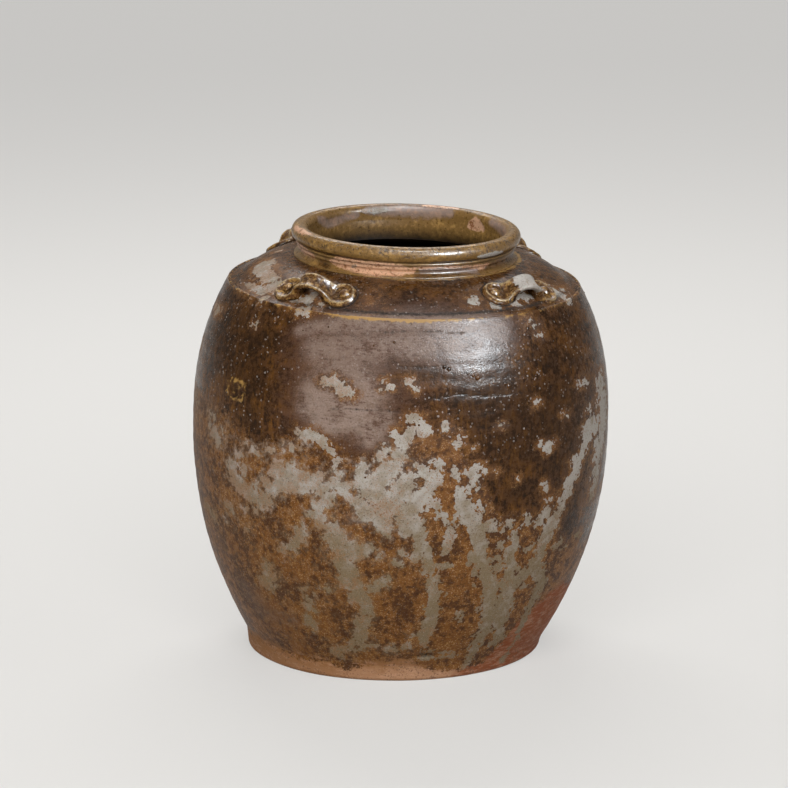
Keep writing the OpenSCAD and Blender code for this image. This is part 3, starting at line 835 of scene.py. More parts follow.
def body_finish(tints):
    """The whole glaze of the walls, laid by the fields painted on the mesh."""

    def make(board, place):
        ragged = board.noise(place, 6.5, 2.5, 0.55)
        lobes = board.noise(place, 2.6, 1.0, 0.5)
        fine = board.noise(place, 1.1, 2.0, 0.6)
        edge = (ragged - 0.5) * 19.0 + (lobes - 0.5) * 10.0 + (fine - 0.5) * 1.0
        edge = edge * (1.0 - board.between(board.field("way"), 291.0, 296.0) * 0.5)
        ash = board.field("ash")
        coat = brown_coat(board, place, tints)
        dark = board.between(board.field("dark") + edge * 0.03, 0.0, 0.8)
        deep = Coat(board.mix(coat.colour, tints.dark_brown, 0.55), coat.roughness, coat.height)
        coat = lay(board, coat, deep, dark)
        strokes = board.noise(place, 3.0, 3.0, 0.6, (0.3, 0.3, 1.0))
        haze = edge * 0.022 + (fine - 0.5) * 0.9 + (strokes - 0.5) * 0.8 - dark * 0.7
        # A paler mauve brown laid over the upper front: partly the glaze's tone, partly a painted sheen, ringed by a
        # darker plum band.
        wiped_and_sheen = board.between(board.field("mauve") + haze, -0.9, 1.15) ** 1.6
        mauve = mauve_and_sheen_coat(board, place, tints)
        around = board.between(board.field("mauve") + haze, -1.5, 0.2) * 0.6
        halfway = board.mix(tints.plum, tints.dark_brown, board.between(fine + strokes, 1.06, 0.84) * 0.7)
        coat = lay(board, coat, Coat(halfway, coat.roughness, coat.height), around)
        coat = lay(board, coat, mauve, wiped_and_sheen * 0.92)
        rust = board.between(board.field("rust") + edge * 0.9 + (fine - 0.5) * 16.0, -4.0, 4.0)
        halo = board.between(ash + edge * 0.6 + (fine - 0.5) * 8.0, -6.5, -0.5)
        coat = lay(board, coat, rust_coat(board, place, tints), board.level(rust * 0.95, 1.0, halo * 0.85))
        coat = lay(board, coat, mauve, board.between(board.field("mauve"), 0.15, 0.8) * rust * 0.35)
        bare = board.between(board.field("bare") + edge * 0.7 + (fine - 0.5) * 9.0, -3.5, 3.5)
        coat = lay(board, coat, clay_coat(board, place, tints), bare)
        crust = ash_coat(board, place, tints)
        side = board.add("ShaderNodeSeparateXYZ", None, {0: place}, out=0)
        film = board.between(ash + edge * 0.9, -6.0, 3.0) * board.between(side, 30.0, -10.0)
        veil = board.between(ragged + lobes * 0.5, 0.68, 0.95) * board.between(side, 0.0, -70.0)
        film = (film * 0.5 + veil * 0.22) * rust
        coat = lay(board, coat, crust, film)
        coat = lay(board, coat, crust, board.between(ash + edge * 0.8, -0.25, 0.35))
        # Gold laid by the gold field: on the ledge bead partly a painted highlight; elsewhere the glaze's own.
        gilt = Coat(tints.gold, 0.3, 0.4)
        broken = board.field("gold") + (lobes - 0.5) * 1.1 + (ragged - 0.5) * 1.6
        gilded = board.between(broken, 0.25, 0.8) * board.between(board.field("gold"), 0.02, 0.12)
        coat = lay(board, coat, gilt, gilded * 0.8)
        # The darkest glaze along the lines of this field: partly painted shade round the lug ends and above the ledge,
        # partly dark glaze.
        groove = board.between(board.field("seam") + (lobes - 0.5) * 0.8 + (fine - 0.5) * 0.3, 0.1, 0.9)
        coat = lay(board, coat, Coat(tints.soot, 0.75, 0.0), groove)
        zone = board.between(board.noise(place, 22.0, 3.0, 0.6), 0.42, 0.6) * (1.0 - wiped_and_sheen * 0.75)
        zone = zone * board.between(board.field("way"), 180.0, 212.0)
        speck = board.dots(place, 2.4, 0.95, 0.5, fine) * zone * (1.0 - rust * 0.6)
        coat = lay(board, coat, Coat(tints.speck, 0.5, 0.9), speck * 0.7)
        return inside_wash_and_shade(board, place, coat, tints)

    return fired("jar_body_glaze", make)


def neck_finish(tints):
    """Golden olive glaze of the collar and the rim, with bare and purple places."""

    def make(board, place):
        ragged = board.noise(place, 5.0, 3.0, 0.6)
        lobes = board.noise(place, 1.8, 2.0, 0.6)
        edge = (ragged - 0.5) * 10.0 + (lobes - 0.5) * 5.0
        way = board.field("way")
        coat = gold_coat(board, place, tints)
        brown = board.between(board.field("dark") + edge * 0.06, 0.1, 0.8)
        coat = lay(board, coat, brown_coat(board, place, tints), brown * 0.8)
        # Mauve on the collar front is partly a painted sheen.
        mauve = board.between(board.field("mauve") + edge * 0.07, 0.1, 0.8)
        coat = lay(board, coat, mauve_and_sheen_coat(board, place, tints), mauve)
        pink = board.mix(tints.mauve, tints.salmon, board.between(ragged, 0.4, 0.65) * 0.5)
        inner = board.between(way, 366.0, 369.0) * mauve
        coat = lay(board, coat, Coat(pink, 0.3, ragged * 0.3), inner * 0.8)
        crest = board.between(way, 350.0, 353.0) * board.between(way, 369.0, 364.0)
        worn = board.between(lobes + ragged * 0.7, 0.8, 0.68) * crest
        coat = lay(board, coat, Coat(tints.dark_brown, 0.3, 0.0), worn * 0.7)
        bare = board.between(board.field("bare") + edge * 0.5, -0.7, 0.9)
        rubbed = board.mix(tints.salmon, tints.clay, board.between(lobes + ragged, 1.0, 1.25))
        rubbed = board.mix(rubbed, tints.red_clay, board.between(ragged, 0.55, 0.7) * 0.5)
        coat = lay(board, coat, Coat(rubbed, 0.36, lobes * 0.2), bare)
        ash = board.between(board.field("ash") + edge * 0.5, -0.35, 0.45)
        coat = lay(board, coat, ash_coat(board, place, tints), ash)
        # Painted shade: the darkest glaze in the lines under the rolled rim, and deep in the throat, where the inside
        # of the mouth falls dark.
        deep = board.between(way + (ragged - 0.5) * 8.0, 381.0, 396.0)
        coat = lay(board, coat, Coat(tints.soot, 0.6, 0.0), board.field("seam"))
        return lay(board, coat, Coat(tints.soot, 0.3, 0.0), deep)

    return fired("jar_neck_glaze", make, ior=1.2, specular=0.95)


def lug_finish(tints):
    """Thick amber glaze of the lugs, with a painted cream highlight on the ridges, and brown in the pits and underneath
    that is partly painted shade.
    """

    def make(board, place):
        mottle = board.noise(place, 3.0, 3.0, 0.6)
        fine = board.noise(place, 1.2, 2.0, 0.6)
        ridge = board.field("ridge") + (mottle - 0.5) * 1.5
        amber = board.mix(tints.brown, tints.gold, board.between(mottle + fine * 0.5, 0.68, 0.9) * 0.7)
        coat = Coat(amber, 0.24 + mottle * 0.1, mottle * 0.4 + fine * 0.1)
        # Brown where the ridge field is low, in the pits and under the lug: partly painted shade.
        coat = lay(board, coat, brown_coat(board, place, tints), board.between(ridge, 0.2, -0.3) * 0.85)
        # Cream on the ridges: a painted highlight.
        cream = Coat(tints.cream, 0.3, mottle * 0.3 + 0.1)
        coat = lay(board, coat, cream, board.between(ridge + fine * 0.5, 0.85, 1.4) * 0.6)
        ash = board.field("ash") + (mottle - 0.5) * 8.0
        return lay(board, coat, ash_coat(board, place, tints), board.between(ash, -0.4, 0.5))

    return fired("jar_lug_glaze", make, ior=1.2, specular=0.85)


def foot_finish(tints):
    """Bare clay of the foot, with the ends of a few glaze runs on its edge."""

    def make(board, place):
        ragged = board.noise(place, 6.0, 3.0, 0.6)
        fine = board.noise(place, 1.1, 2.0, 0.6)
        edge = (ragged - 0.5) * 12.0 + (fine - 0.5) * 10.0
        coat = clay_coat(board, place, tints)
        rust = board.between(edge - board.field("bare"), -3.5, -0.5)
        coat = lay(board, coat, rust_coat(board, place, tints), rust)
        ash = board.between(board.field("ash") + edge * 0.7, -0.35, 0.45)
        return lay(board, coat, ash_coat(board, place, tints), ash)

    return fired("jar_foot_clay", make)


# Geometry Nodes: walls spun from a profile, and small glaze beads set on the wall


def spin_tree():
    """Spins the rows of a profile round the jar's axis. Its points are radius, 0 and height."""
    tree = bpy.data.node_groups.new("spin_profile", "GeometryNodeTree")
    for name, kind in (
        ("Profile", "NodeSocketGeometry"),
        ("Rows", "NodeSocketInt"),
        ("Steps Round", "NodeSocketInt"),
        ("Outside", "NodeSocketMaterial"),
    ):
        tree.interface.new_socket(name, in_out="INPUT", socket_type=kind)
    tree.interface.new_socket("Wall", in_out="OUTPUT", socket_type="NodeSocketGeometry")
    board = Board(tree)
    source = tree.nodes.new("NodeGroupInput")
    profile, rows, steps, outside = (Wire(board, source.outputs[i]) for i in range(4))
    sheet = board.add(
        "GeometryNodeMeshGrid",
        None,
        {"Size X": 1.0, "Size Y": 1.0, "Vertices X": steps, "Vertices Y": rows},
    )
    spot = board.add("GeometryNodeInputPosition")
    across = board.add("ShaderNodeSeparateXYZ", None, {0: spot}, out=0)
    along = board.add("ShaderNodeSeparateXYZ", None, {0: spot}, out=1)
    row = board.add("ShaderNodeMath", {"operation": "ROUND"}, {0: (along + 0.5) * (rows - 1.0)})
    turn = across * (2.0 * math.pi)

    def sampled(value, data_type):
        sockets = {"Geometry": profile, "Value": value, "Index": row}
        return board.add("GeometryNodeSampleIndex", {"data_type": data_type}, sockets)

    point = sampled(board.add("GeometryNodeInputPosition"), "FLOAT_VECTOR")
    radius = board.add("ShaderNodeSeparateXYZ", None, {0: point}, out=0)
    height = board.add("ShaderNodeSeparateXYZ", None, {0: point}, out=2)
    sine = board.add("ShaderNodeMath", {"operation": "SINE"}, {0: turn})
    cosine = board.add("ShaderNodeMath", {"operation": "COSINE"}, {0: turn})
    spun = board.add(
        "ShaderNodeCombineXYZ", None, {0: radius * sine, 1: radius * cosine * -1.0, 2: height}
    )
    wall = sheet
    for name in ("way", "skin"):
        value = board.add("GeometryNodeInputNamedAttribute", {"data_type": "FLOAT"}, {"Name": name})
        wall = board.add(
            "GeometryNodeStoreNamedAttribute",
            {"data_type": "FLOAT", "domain": "POINT"},
            {"Geometry": wall, "Name": name, "Value": sampled(value, "FLOAT")},
        )
    wall = board.add("GeometryNodeSetPosition", None, {"Geometry": wall, "Position": spun})
    wall = board.add("GeometryNodeMergeByDistance", None, {"Geometry": wall, "Distance": 1e-6})
    wall = board.add("GeometryNodeSetShadeSmooth", None, {"Geometry": wall, "Shade Smooth": True})
    wall = board.add("GeometryNodeRealizeInstances", None, {"Geometry": wall})
    wall = board.add("GeometryNodeSetMaterial", None, {"Geometry": wall, "Material": outside})
    sink = tree.nodes.new("NodeGroupOutput")
    tree.links.new(wall.socket, sink.inputs[0])
    return tree


def bead_tree():
    """Sets a flattened bead of glaze on each point, facing along its normal."""
    tree = bpy.data.node_groups.new("set_beads", "GeometryNodeTree")
    for name, kind in (
        ("Places", "NodeSocketGeometry"),
        ("Bead Radius", "NodeSocketFloat"),
        ("Flatness", "NodeSocketFloat"),
        ("Segments", "NodeSocketInt"),
        ("Glaze", "NodeSocketMaterial"),
    ):
        tree.interface.new_socket(name, in_out="INPUT", socket_type=kind)
    tree.interface.new_socket("Beads", in_out="OUTPUT", socket_type="NodeSocketGeometry")
    board = Board(tree)
    source = tree.nodes.new("NodeGroupInput")
    places, radius, flat, segments, glaze = (Wire(board, source.outputs[i]) for i in range(5))
    ball = board.add(
        "GeometryNodeMeshUVSphere", None, {"Segments": segments, "Rings": 8, "Radius": radius}
    )
    shape = board.add("ShaderNodeCombineXYZ", None, {0: 1.0, 1: 1.0, 2: flat})
    bead = board.add("GeometryNodeTransform", None, {"Geometry": ball, "Scale": shape})
    settings = {"data_type": "FLOAT_VECTOR"}
    out_of = board.add("GeometryNodeInputNamedAttribute", settings, {"Name": "facing"})
    size = board.add("GeometryNodeInputNamedAttribute", {"data_type": "FLOAT"}, {"Name": "size"})
    facing = board.add("FunctionNodeAlignRotationToVector", {"axis": "Z"}, {"Vector": out_of})
    beads = board.add(
        "GeometryNodeInstanceOnPoints",
        None,
        {"Points": places, "Instance": bead, "Rotation": facing, "Scale": size},
    )
    beads = board.add("GeometryNodeRealizeInstances", None, {"Geometry": beads})
    beads = board.add("GeometryNodeSetShadeSmooth", None, {"Geometry": beads, "Shade Smooth": True})
    beads = board.add("GeometryNodeSetMaterial", None, {"Geometry": beads, "Material": glaze})
    sink = tree.nodes.new("NodeGroupOutput")
    tree.links.new(beads.socket, sink.inputs[0])
    return tree


def tree_named(name, make):
    return bpy.data.node_groups.get(name) or make()


def grown(name, seed_mesh, tree, inputs):
    """The plain mesh that a Geometry Nodes tree makes from a seed mesh."""
    holder = bpy.data.objects.new(name, seed_mesh)
    bpy.context.collection.objects.link(holder)
    modifier = holder.modifiers.new("grow", "NODES")
    modifier.node_group = tree
    sockets = {s.name: s.identifier for s in tree.interface.items_tree if s.in_out == "INPUT"}
    for key, value in inputs.items():
        modifier[sockets[key]] = value
    holder.update_tag()
    seen = holder.evaluated_get(bpy.context.evaluated_depsgraph_get())
    mesh = bpy.data.meshes.new_from_object(seen)
    holder.modifiers.clear()
    holder.data = mesh
    mesh.name = name
    bpy.data.meshes.remove(seed_mesh)
    return holder


# Meshes


def places_of(mesh):
    flat = np.empty(len(mesh.vertices) * 3)
    mesh.vertices.foreach_get("co", flat)
    return flat.reshape(-1, 3) / MM


def numbers_of(mesh, name):
    values = np.empty(len(mesh.vertices))
    mesh.attributes[name].data.foreach_get("value", values)
    return values


def give(mesh, name, values):
    field = mesh.attributes.get(name) or mesh.attributes.new(name, "FLOAT", "POINT")
    field.data.foreach_set("value", np.ascontiguousarray(values, dtype=np.float32))


def stand(points, sway=None):
    """Points of the straight jar in mm, leaned over the foot and turned into metres."""
    x, y, z = points.T
    out = np.stack(
        [
            x * math.cos(LEAN) + z * math.sin(LEAN) - AXIS_SHIFT,
            y,
            -x * math.sin(LEAN) + z * math.cos(LEAN),
        ],
        axis=1,
    )
    return out * MM


def put(mesh, points):
    mesh.vertices.foreach_set("co", np.ascontiguousarray(points, dtype=np.float32).ravel())
    mesh.update()


LUG_CENTRES = [
    (math.radians(azimuth), math.radians(slant)) for azimuth, slant in LUGS.values()
]


def by_lugs(azimuth, radius):
    """How far each point of the shoulder lies outside the nearest end of a lug, in mm."""
    nearest = np.full(azimuth.shape, 60.0)
    for middle, slant in LUG_CENTRES:
        along = (np.radians(turned(azimuth, math.degrees(middle)))) * LUG_R
        up = (LUG_R - radius) * 1.19
        u = along * math.cos(slant) - up * math.sin(slant)
        v = along * math.sin(slant) + up * math.cos(slant)
        for side in (-1, 1):
            nearest = np.minimum(nearest, np.hypot(u - side * PAD_U, v) - PAD_R)
        legs = np.maximum(np.abs(u) - PAD_U, np.abs(v) - 8.5)
        nearest = np.minimum(nearest, np.where(np.abs(u) > 12, legs, 60.0))
    return nearest


def paint(mesh, points, shoulder=False, neck=False):
    """The fields that lay one finish over another: how far each mark reaches, and where."""
    x, y, z = points.T
    radius = np.hypot(x, y)
    azimuth = np.degrees(np.arctan2(x, -y))
    way = numbers_of(mesh, "way")
    skin = numbers_of(mesh, "skin")
    ash_marks = NECK_ASH_AND_HIGHLIGHT if neck else ASH + back_marks()
    give(mesh, "ash", np.where(skin > 0, reach(ash_marks, azimuth, way, radius), -60.0))
    dark = NECK_DARK if neck else DARK + BROAD_DARK + back_zones(5, 14)
    # The mauve field is partly the glaze's tone and partly a painted sheen.
    mauve = NECK_MAUVE_AND_SHEEN if neck else MAUVE_AND_SHEEN + BROAD_MAUVE_AND_SHEEN + back_zones(8, 9)
    give(mesh, "dark", reach(dark, azimuth, way, radius, relative=True))
    give(mesh, "mauve", reach(mauve, azimuth, way, radius, relative=True))
    slow = waves(points, 45.0, 3) * 5.0
    rust = edge_of(RUST_TOP, azimuth) - way + slow
    if shoulder:
        rust = 28.0 * hump(azimuth, -12.0, 16.0) - 27.0
    give(mesh, "rust", rust)
    bare = edge_of(BARE_TOP, azimuth) - way
    if neck:
        bare = reach(NECK_BARE, azimuth, way, radius)
    give(mesh, "bare", bare)
    # The golden line on the ledge bead: partly thick glaze, partly a painted highlight, brightest towards the front.
    front_highlight = 0.35 + 0.6 * eased(-np.abs(azimuth + 2.0), -34.0, -6.0)
    gold = hump(way, LEDGE_Z + 1.0, 1.5) * front_highlight
    # This field lays the darkest glaze in lines: painted shade, partly pooled glaze, round the lug ends, above the
    # ledge and under the rim; dark glaze in the scored lines; and darker in the gash near the foot.
    seam = np.zeros(len(points))
    if shoulder:
        outside = by_lugs(azimuth, radius)
        # A painted shade line round the lug ends, partly pooled glaze.
        seam = 0.8 * hump(outside, 0.7, 0.9) * (outside > -0.5)
        # Painted shade in the groove above the ledge, partly pooled glaze, strongest on the front.
        deep = 0.3 + 0.35 * eased(azimuth, -55.0, -15.0) * (1 - eased(azimuth, 55.0, 80.0))
        seam = np.maximum(seam, deep * hump(way, LEDGE_Z + 3.2, 2.2))
        gold = 0.8 * hump(way, COLLAR_WAY - 1.5, 1.6) * eased(azimuth, -30.0, 5.0)
    gash = np.hypot(turned(azimuth, 11.0) * radius * 0.01745 / 10.0, (way - 24.0) / 2.8)
    seam = np.maximum(seam, 0.62 * np.exp(-(gash**2)))
    if neck:
        # On the neck: painted shade in the lines under the rolled rim, partly pooled glaze.
        seam = 0.45 * hump(way, 344.4, 0.8) + 0.5 * hump(way, 347.6, 0.9)
    for low, first, last, deep in SCORES:
        here = eased(azimuth, first, first + 4) * (1 - eased(azimuth, last - 4, last))
        level = low + waves(points, 18.0, 6) * 1.4
        seam = np.maximum(seam, 0.5 * hump(way, level, 0.9) * here)
    if not neck:
        across = np.abs(turned(azimuth, -52.9) * radius * 0.0108)
        off = (across**3 + np.abs(way - 226.4) ** 3) ** (1 / 3)
        gold = np.maximum(gold, 0.42 * hump(off, 7.2, 1.8) + 0.1 * (off < 7))
    give(mesh, "gold", gold)
    give(mesh, "seam", np.clip(seam, 0.0, 1.0))


def uneven(points, mesh):
    """Small inward unevenness of the outside: throwing rings, slow dents and crisp lines."""
    x, y, z = points.T
    radius = np.maximum(np.hypot(x, y), 1e-6)
    azimuth = np.degrees(np.arctan2(x, -y))
    skin = numbers_of(mesh, "skin") > 0.9
    rings = np.sin(z * 2 * math.pi / 11.0 + waves(points, 60.0, 1) * 1.6) * 0.07
    dents = waves(points, 70.0, 2) * 0.32 + waves(points, 24.0, 4) * 0.10
    depth = np.clip(0.5 - rings - dents, 0.0, 1.2)
    for low, first, last, deep in SCORES:
        level = low + waves(points, 18.0, 6) * 1.4
        here = eased(azimuth, first, first + 4) * (1 - eased(azimuth, last - 4, last))
        depth += deep * hump(z, level, 0.8) * here
    for azimuth_0, height_0, wide, high, deep in DENTS:
        off = np.hypot(turned(azimuth, azimuth_0) * radius * 0.01745 / wide, (z - height_0) / high)
        depth += deep * np.exp(-(off**2))
    depth = np.clip(depth, 0.0, 2.6) * skin
    share = 1.0 - depth / radius
    out = points.copy()
    out[:, 0] *= share
    out[:, 1] *= share
    return out


# Lines scored or wiped round the wall: height, first and last degree, and depth in mm
SCORES = [
    (285.8, -9.0, 22.0, 0.3),
    (238.5, 6.0, 34.0, 0.08),
    (262.0, -4.0, 12.0, 0.12),
    (228.0, -22.0, 4.0, 0.1),
]
# Dents and gashes: degrees round, height, half width, half height and depth
DENTS = [(11.0, 24.0, 11.0, 2.8, 1.9), (-6.0, 60.0, 40.0, 20.0, 0.4), (-52.9, 226.4, 6.0, 6.0, 0.4)]


def wall_piece(name, rows, steps, finish, nodes, shoulder=False, neck=False, lean=True):
    seed = bpy.data.meshes.new(name + "_profile")
    seed.from_pydata([(r * MM, 0.0, z * MM) for r, z, _, _ in rows] + [(rows[0][0] * MM, 0.0, rows[0][1] * MM)], [], [])
    for index, field in ((2, "way"), (3, "skin")):
        give(seed, field, [row[index] for row in rows] + [rows[0][index]])
    inputs = {"Rows": len(rows) + 1, "Steps Round": steps + 1, "Outside": finish}
    piece = grown(name, seed, tree_named("spin_profile", spin_tree), inputs)
    mesh = piece.data
    points = places_of(mesh)
    paint(mesh, points, shoulder, neck)
    shaped = uneven(points, mesh)
    put(mesh, stand(shaped) if lean else footed(shaped))
    mesh.set_sharp_from_angle(angle=math.radians(50))
    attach(piece, "root")
    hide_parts(*nodes)
    return piece


def footed(points):
    """The foot slab stands level. Its upper edge follows the leaning wall above it."""
    x, y, z = points.T
    top = (BASE_T - x * math.sin(LEAN)) / math.cos(LEAN)
    share = np.clip((z - FOOT_ROUND) / (BASE_T - FOOT_ROUND), 0.0, 1.0)
    up = np.where(z > FOOT_ROUND, FOOT_ROUND + (top - FOOT_ROUND) * share, z)
    slide = BASE_T * math.sin(LEAN) * share
    return np.stack([x + slide - AXIS_SHIFT, y, up], axis=1) * MM


# Lugs: u runs along the lug, v up the slope of the shoulder and n out of it


def dome_out(r):
    slope = 2 * (SHOULDER_Z - GROOVE_Z) * (r - COLLAR_R) / (SHOULDER_R - COLLAR_R) ** 2
    size = np.sqrt(1 + slope * slope)
    return slope / size, 1 / size


V_REACH = 1 / math.sqrt(
    1 + (2 * (SHOULDER_Z - GROOVE_Z) * (LUG_R - COLLAR_R) / (SHOULDER_R - COLLAR_R) ** 2) ** 2
)


def on_dome(place, u, v, n):
    """Points of a lug, bent round the domed shoulder."""
    middle, slant = math.radians(place[0]), math.radians(place[1])
    along = u * math.cos(slant) + v * math.sin(slant)
    up = v * math.cos(slant) - u * math.sin(slant)
    r = LUG_R - up * V_REACH
    azimuth = middle + along / LUG_R
    out, rise = dome_out(r)
    flat = r + n * out
    dome = SHOULDER_Z - (SHOULDER_Z - GROOVE_Z) * ((r - COLLAR_R) / (SHOULDER_R - COLLAR_R)) ** 2
    return np.stack([flat * np.sin(azimuth), -flat * np.cos(azimuth), dome + n * rise], axis=-1)


def pad_height(u, v):
    d = PAD_R - np.hypot(u - PAD_U, v)
    edge = (PAD_EDGE - PAD_FLOOR) * np.exp(-(((d - 0.192 * PAD_R) / (0.144 * PAD_R)) ** 2))
    start = np.sqrt(np.clip(d / (0.13 * PAD_R), 0.0, 1.0))
    pit = THUMB_PIT * np.exp(-((np.hypot(u - PIT_U, v) / PIT_R) ** 2))
    lip = SLIP_GAP + 0.1 * PAD_FLOOR
    return lip + (PAD_FLOOR + edge - pit - lip) * start


ACROSS = np.array([-1, -0.92, -0.78, -0.6, -0.35, 0, 0.35, 0.6, 0.78, 0.92, 1])
EDGE_SHARE = np.array([0.35, 0.9, 1, 0.55, 0.1, 0, 0.1, 0.55, 1, 0.9, 0.35])


def strap_top(turn):
    n = PAD_FLOOR + (LUG_RISE - STRAP_EDGE - PAD_FLOOR) * math.sin(turn)
    leg = LOOP_W / 2 + LUG_RISE - LOOP_H - STRAP_EDGE / 2
    return leg * math.cos(turn) + STRAP_FLARE * math.exp((PAD_FLOOR - n) / (0.147 * LUG_RISE)), n


def lug_rows():
    """Half of a lug from its far end to its crown: rows of (u, v, n), and the edge share."""
    spread = np.sin(np.linspace(-math.pi / 2, math.pi / 2, 45))
    shares = np.interp(spread, ACROSS, EDGE_SHARE)
    under = np.linspace(1, -1, 12)[1:-1]
    rows, ridges = [], []
    for turn in np.radians(np.linspace(4, 120.5, 34)):
        u = PAD_U + PAD_R * math.cos(turn)
        half = PAD_R * math.sin(turn)
        v = spread * half
        n = pad_height(u, v)
        top = np.stack([np.full_like(v, u), v, n], axis=1)
        low = np.stack([np.full_like(under, u), under * half, np.full_like(under, SLIP_GAP)], axis=1)
        rows.append(np.concatenate([top, low]))
        # The ridge field: high on raised edges, where the glaze gets a painted highlight, low in the pit and
        # underneath, where it gets painted shade.
        rim = (n - PAD_FLOOR) / (PAD_EDGE - PAD_FLOOR)
        ridges.append(np.concatenate([np.clip(rim, -0.6, 1), np.full(len(under), -0.5)]))
    for turn in np.radians(np.linspace(0, 90, 40)):
        foot = max(0.0, 1 - math.sin(turn)) ** 3
        half = STRAP_W / 2 + (0.8 * PAD_R - STRAP_W / 2) * foot
        edge = STRAP_EDGE + (PAD_EDGE - PAD_FLOOR - STRAP_EDGE) * foot
        top = strap_top(turn)
        after, before = strap_top(min(math.pi / 2, turn + 0.017)), strap_top(turn - 0.017)
        step = (after[0] - before[0], after[1] - before[1])
        size = math.hypot(*step)
        out = (step[1] / size, -step[0] / size)
        up = edge * shares
        outer = np.stack([top[0] + up * out[0], spread * half, top[1] + up * out[1]], axis=1)
        low = (
            LOOP_W / 2 * math.cos(turn),
            SLIP_GAP + (LOOP_H - SLIP_GAP) * math.sin(turn),
        )
        inner = np.stack([np.full_like(under, low[0]), under * half, np.full_like(under, low[1])], axis=1)
        rows.append(np.concatenate([outer, inner]))
        ridges.append(np.concatenate([shares * 1.25 - 0.25, np.full(len(under), -0.5)]))
    return rows, ridges


def lug_piece(name, place, finish):
    rows, ridges = lug_rows()
    flipped = [row * np.array([-1.0, 1.0, 1.0]) for row in rows]
    rows = flipped + rows[-2::-1]
    ridges = ridges + ridges[-2::-1]
    count, around = len(rows), len(rows[0])
    local = np.concatenate(rows)
    ridge = np.concatenate(ridges)
    u, v, n = local.T
    seed = sum(map(ord, name))
    bumps = waves(local, 7.0, seed) * 0.28 + waves(local, 3.0, seed + 1) * 0.10
    n = np.where(n > SLIP_GAP + 0.05, n - 0.25 * eased(n, 0.3, 3.0) + bumps * eased(n, 0.4, 3.0) * 0.8, n)
    points = on_dome(place, u, v, n)
    faces = [
        (i * around + j, i * around + (j + 1) % around, (i + 1) * around + (j + 1) % around, (i + 1) * around + j)
        for i in range(count - 1)
        for j in range(around)
    ]
    faces.append(tuple(range(around))[::-1])
    faces.append(tuple((count - 1) * around + j for j in range(around)))
    mesh = bpy.data.meshes.new(name)
    mesh.from_pydata([tuple(p) for p in stand(points)], [], faces)
    turn_outwards(mesh)
    give(mesh, "ridge", ridge)
    crown = -60.0 * np.ones(len(points))
    if name in PALE_CROWNS:
        crown = 8.5 - np.hypot(u, v * 0.6) + (n > 7) * 2.0
    give(mesh, "ash", crown)
    mesh.polygons.foreach_set("use_smooth", [True] * len(mesh.polygons))
    mesh.materials.append(finish)
    piece = bpy.data.objects.new(name + "_glazed", mesh)
    bpy.context.collection.objects.link(piece)
    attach(piece, "root")
    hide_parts(name + "_strap")
    return piece


BROAD_DARK = [[(24, 238, 44), (40, 215, 62), (62, 190, 60)], [(-62, 262, 46), (-52, 240, 34)]]
# Broad mauve places on the upper front: partly the glaze's tone, partly a painted sheen.
BROAD_MAUVE_AND_SHEEN = [
    [(-20, 254, 30), (-15, 234, 34), (-8, 216, 24)],
    [(-26, 270, 20), (14, 279, 18)],
    [(-25, 238, 20), (-22, 220, 18)],
]
PALE_CROWNS = ("lug_front_right",)


def turn_outwards(mesh):
    """Turns every face outwards on a closed mesh."""
    import bmesh

    work = bmesh.new()
    work.from_mesh(mesh)
    bmesh.ops.recalc_face_normals(work, faces=work.faces)
    work.to_mesh(mesh)
    work.free()


def pellet_piece(name, place, side, finish):
    """A small button of clay, pressed into the end of a lug."""
    rings, around = 12, 36
    seat = PAD_FLOOR + SLIP_GAP
    points = [(side * PELLET_U, 0.0, seat + PELLET_H)]
    for i in range(1, rings + 1):
        share = i / rings
        rise = PELLET_H * (1 - share**2.4) * (1 - 0.18 * math.exp(-((share / 0.3) ** 2)))
        for j in range(around):
            a = 2 * math.pi * j / around
            r = PELLET_R * share * (1 + 0.05 * math.sin(3 * a + side))
            points.append((side * PELLET_U + r * math.cos(a), r * math.sin(a), seat + rise))
    points.append((side * PELLET_U, 0.0, seat))
    local = np.array(points)
    local[0, 2] = seat + PELLET_H * 0.82
    faces = [(0, 1 + j, 1 + (j + 1) % around) for j in range(around)]
    for i in range(rings - 1):
        a, b = 1 + i * around, 1 + (i + 1) * around
        faces += [(a + j, b + j, b + (j + 1) % around, a + (j + 1) % around) for j in range(around)]
    last, rim = len(points) - 1, 1 + (rings - 1) * around
    faces += [(last, rim + (j + 1) % around, rim + j) for j in range(around)]
    mesh = bpy.data.meshes.new(name)
    mesh.from_pydata([tuple(p) for p in stand(on_dome(place, *local.T))], [], faces)
    turn_outwards(mesh)
    # The pellet's edge is low in the ridge field, so the lug glaze gives it painted shade.
    give(mesh, "ridge", 0.35 - 0.5 * eased(np.hypot(local[:, 0] - side * PELLET_U, local[:, 1]), 3.0, 4.5))
    give(mesh, "ash", np.full(len(local), -60.0))
    mesh.polygons.foreach_set("use_smooth", [True] * len(mesh.polygons))
    mesh.materials.append(finish)
    piece = bpy.data.objects.new(name + "_glazed", mesh)
    bpy.context.collection.objects.link(piece)
    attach(piece, "root")
    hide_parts(name)
    return piece


# Beads of glaze that stand on the wall: degrees round, height and radius
BEADS = [
    (11.6, 261.5, 1.7), (12.9, 260.0, 1.9), (20.0, 254.5, 1.5), (21.2, 252.8, 2.0), (18.4, 256.0, 1.0),
    (29.6, 246.5, 1.5), (30.6, 244.6, 1.9), (40.3, 247.4, 1.6), (33.0, 250.0, 1.0), (26.0, 248.0, 0.9),
    (24.6, 247.0, 0.9), (36.0, 249.0, 1.0), (-24.0, 286.0, 0.9), (-3.0, 279.0, 1.3), (44.0, 262.0, 1.3),
    (38.0, 285.0, 1.4), (41.0, 284.0, 1.6), (-44.0, 284.0, 1.4), (-9.0, 276.0, 1.0), (-40.0, 262.0, 1.2),
]


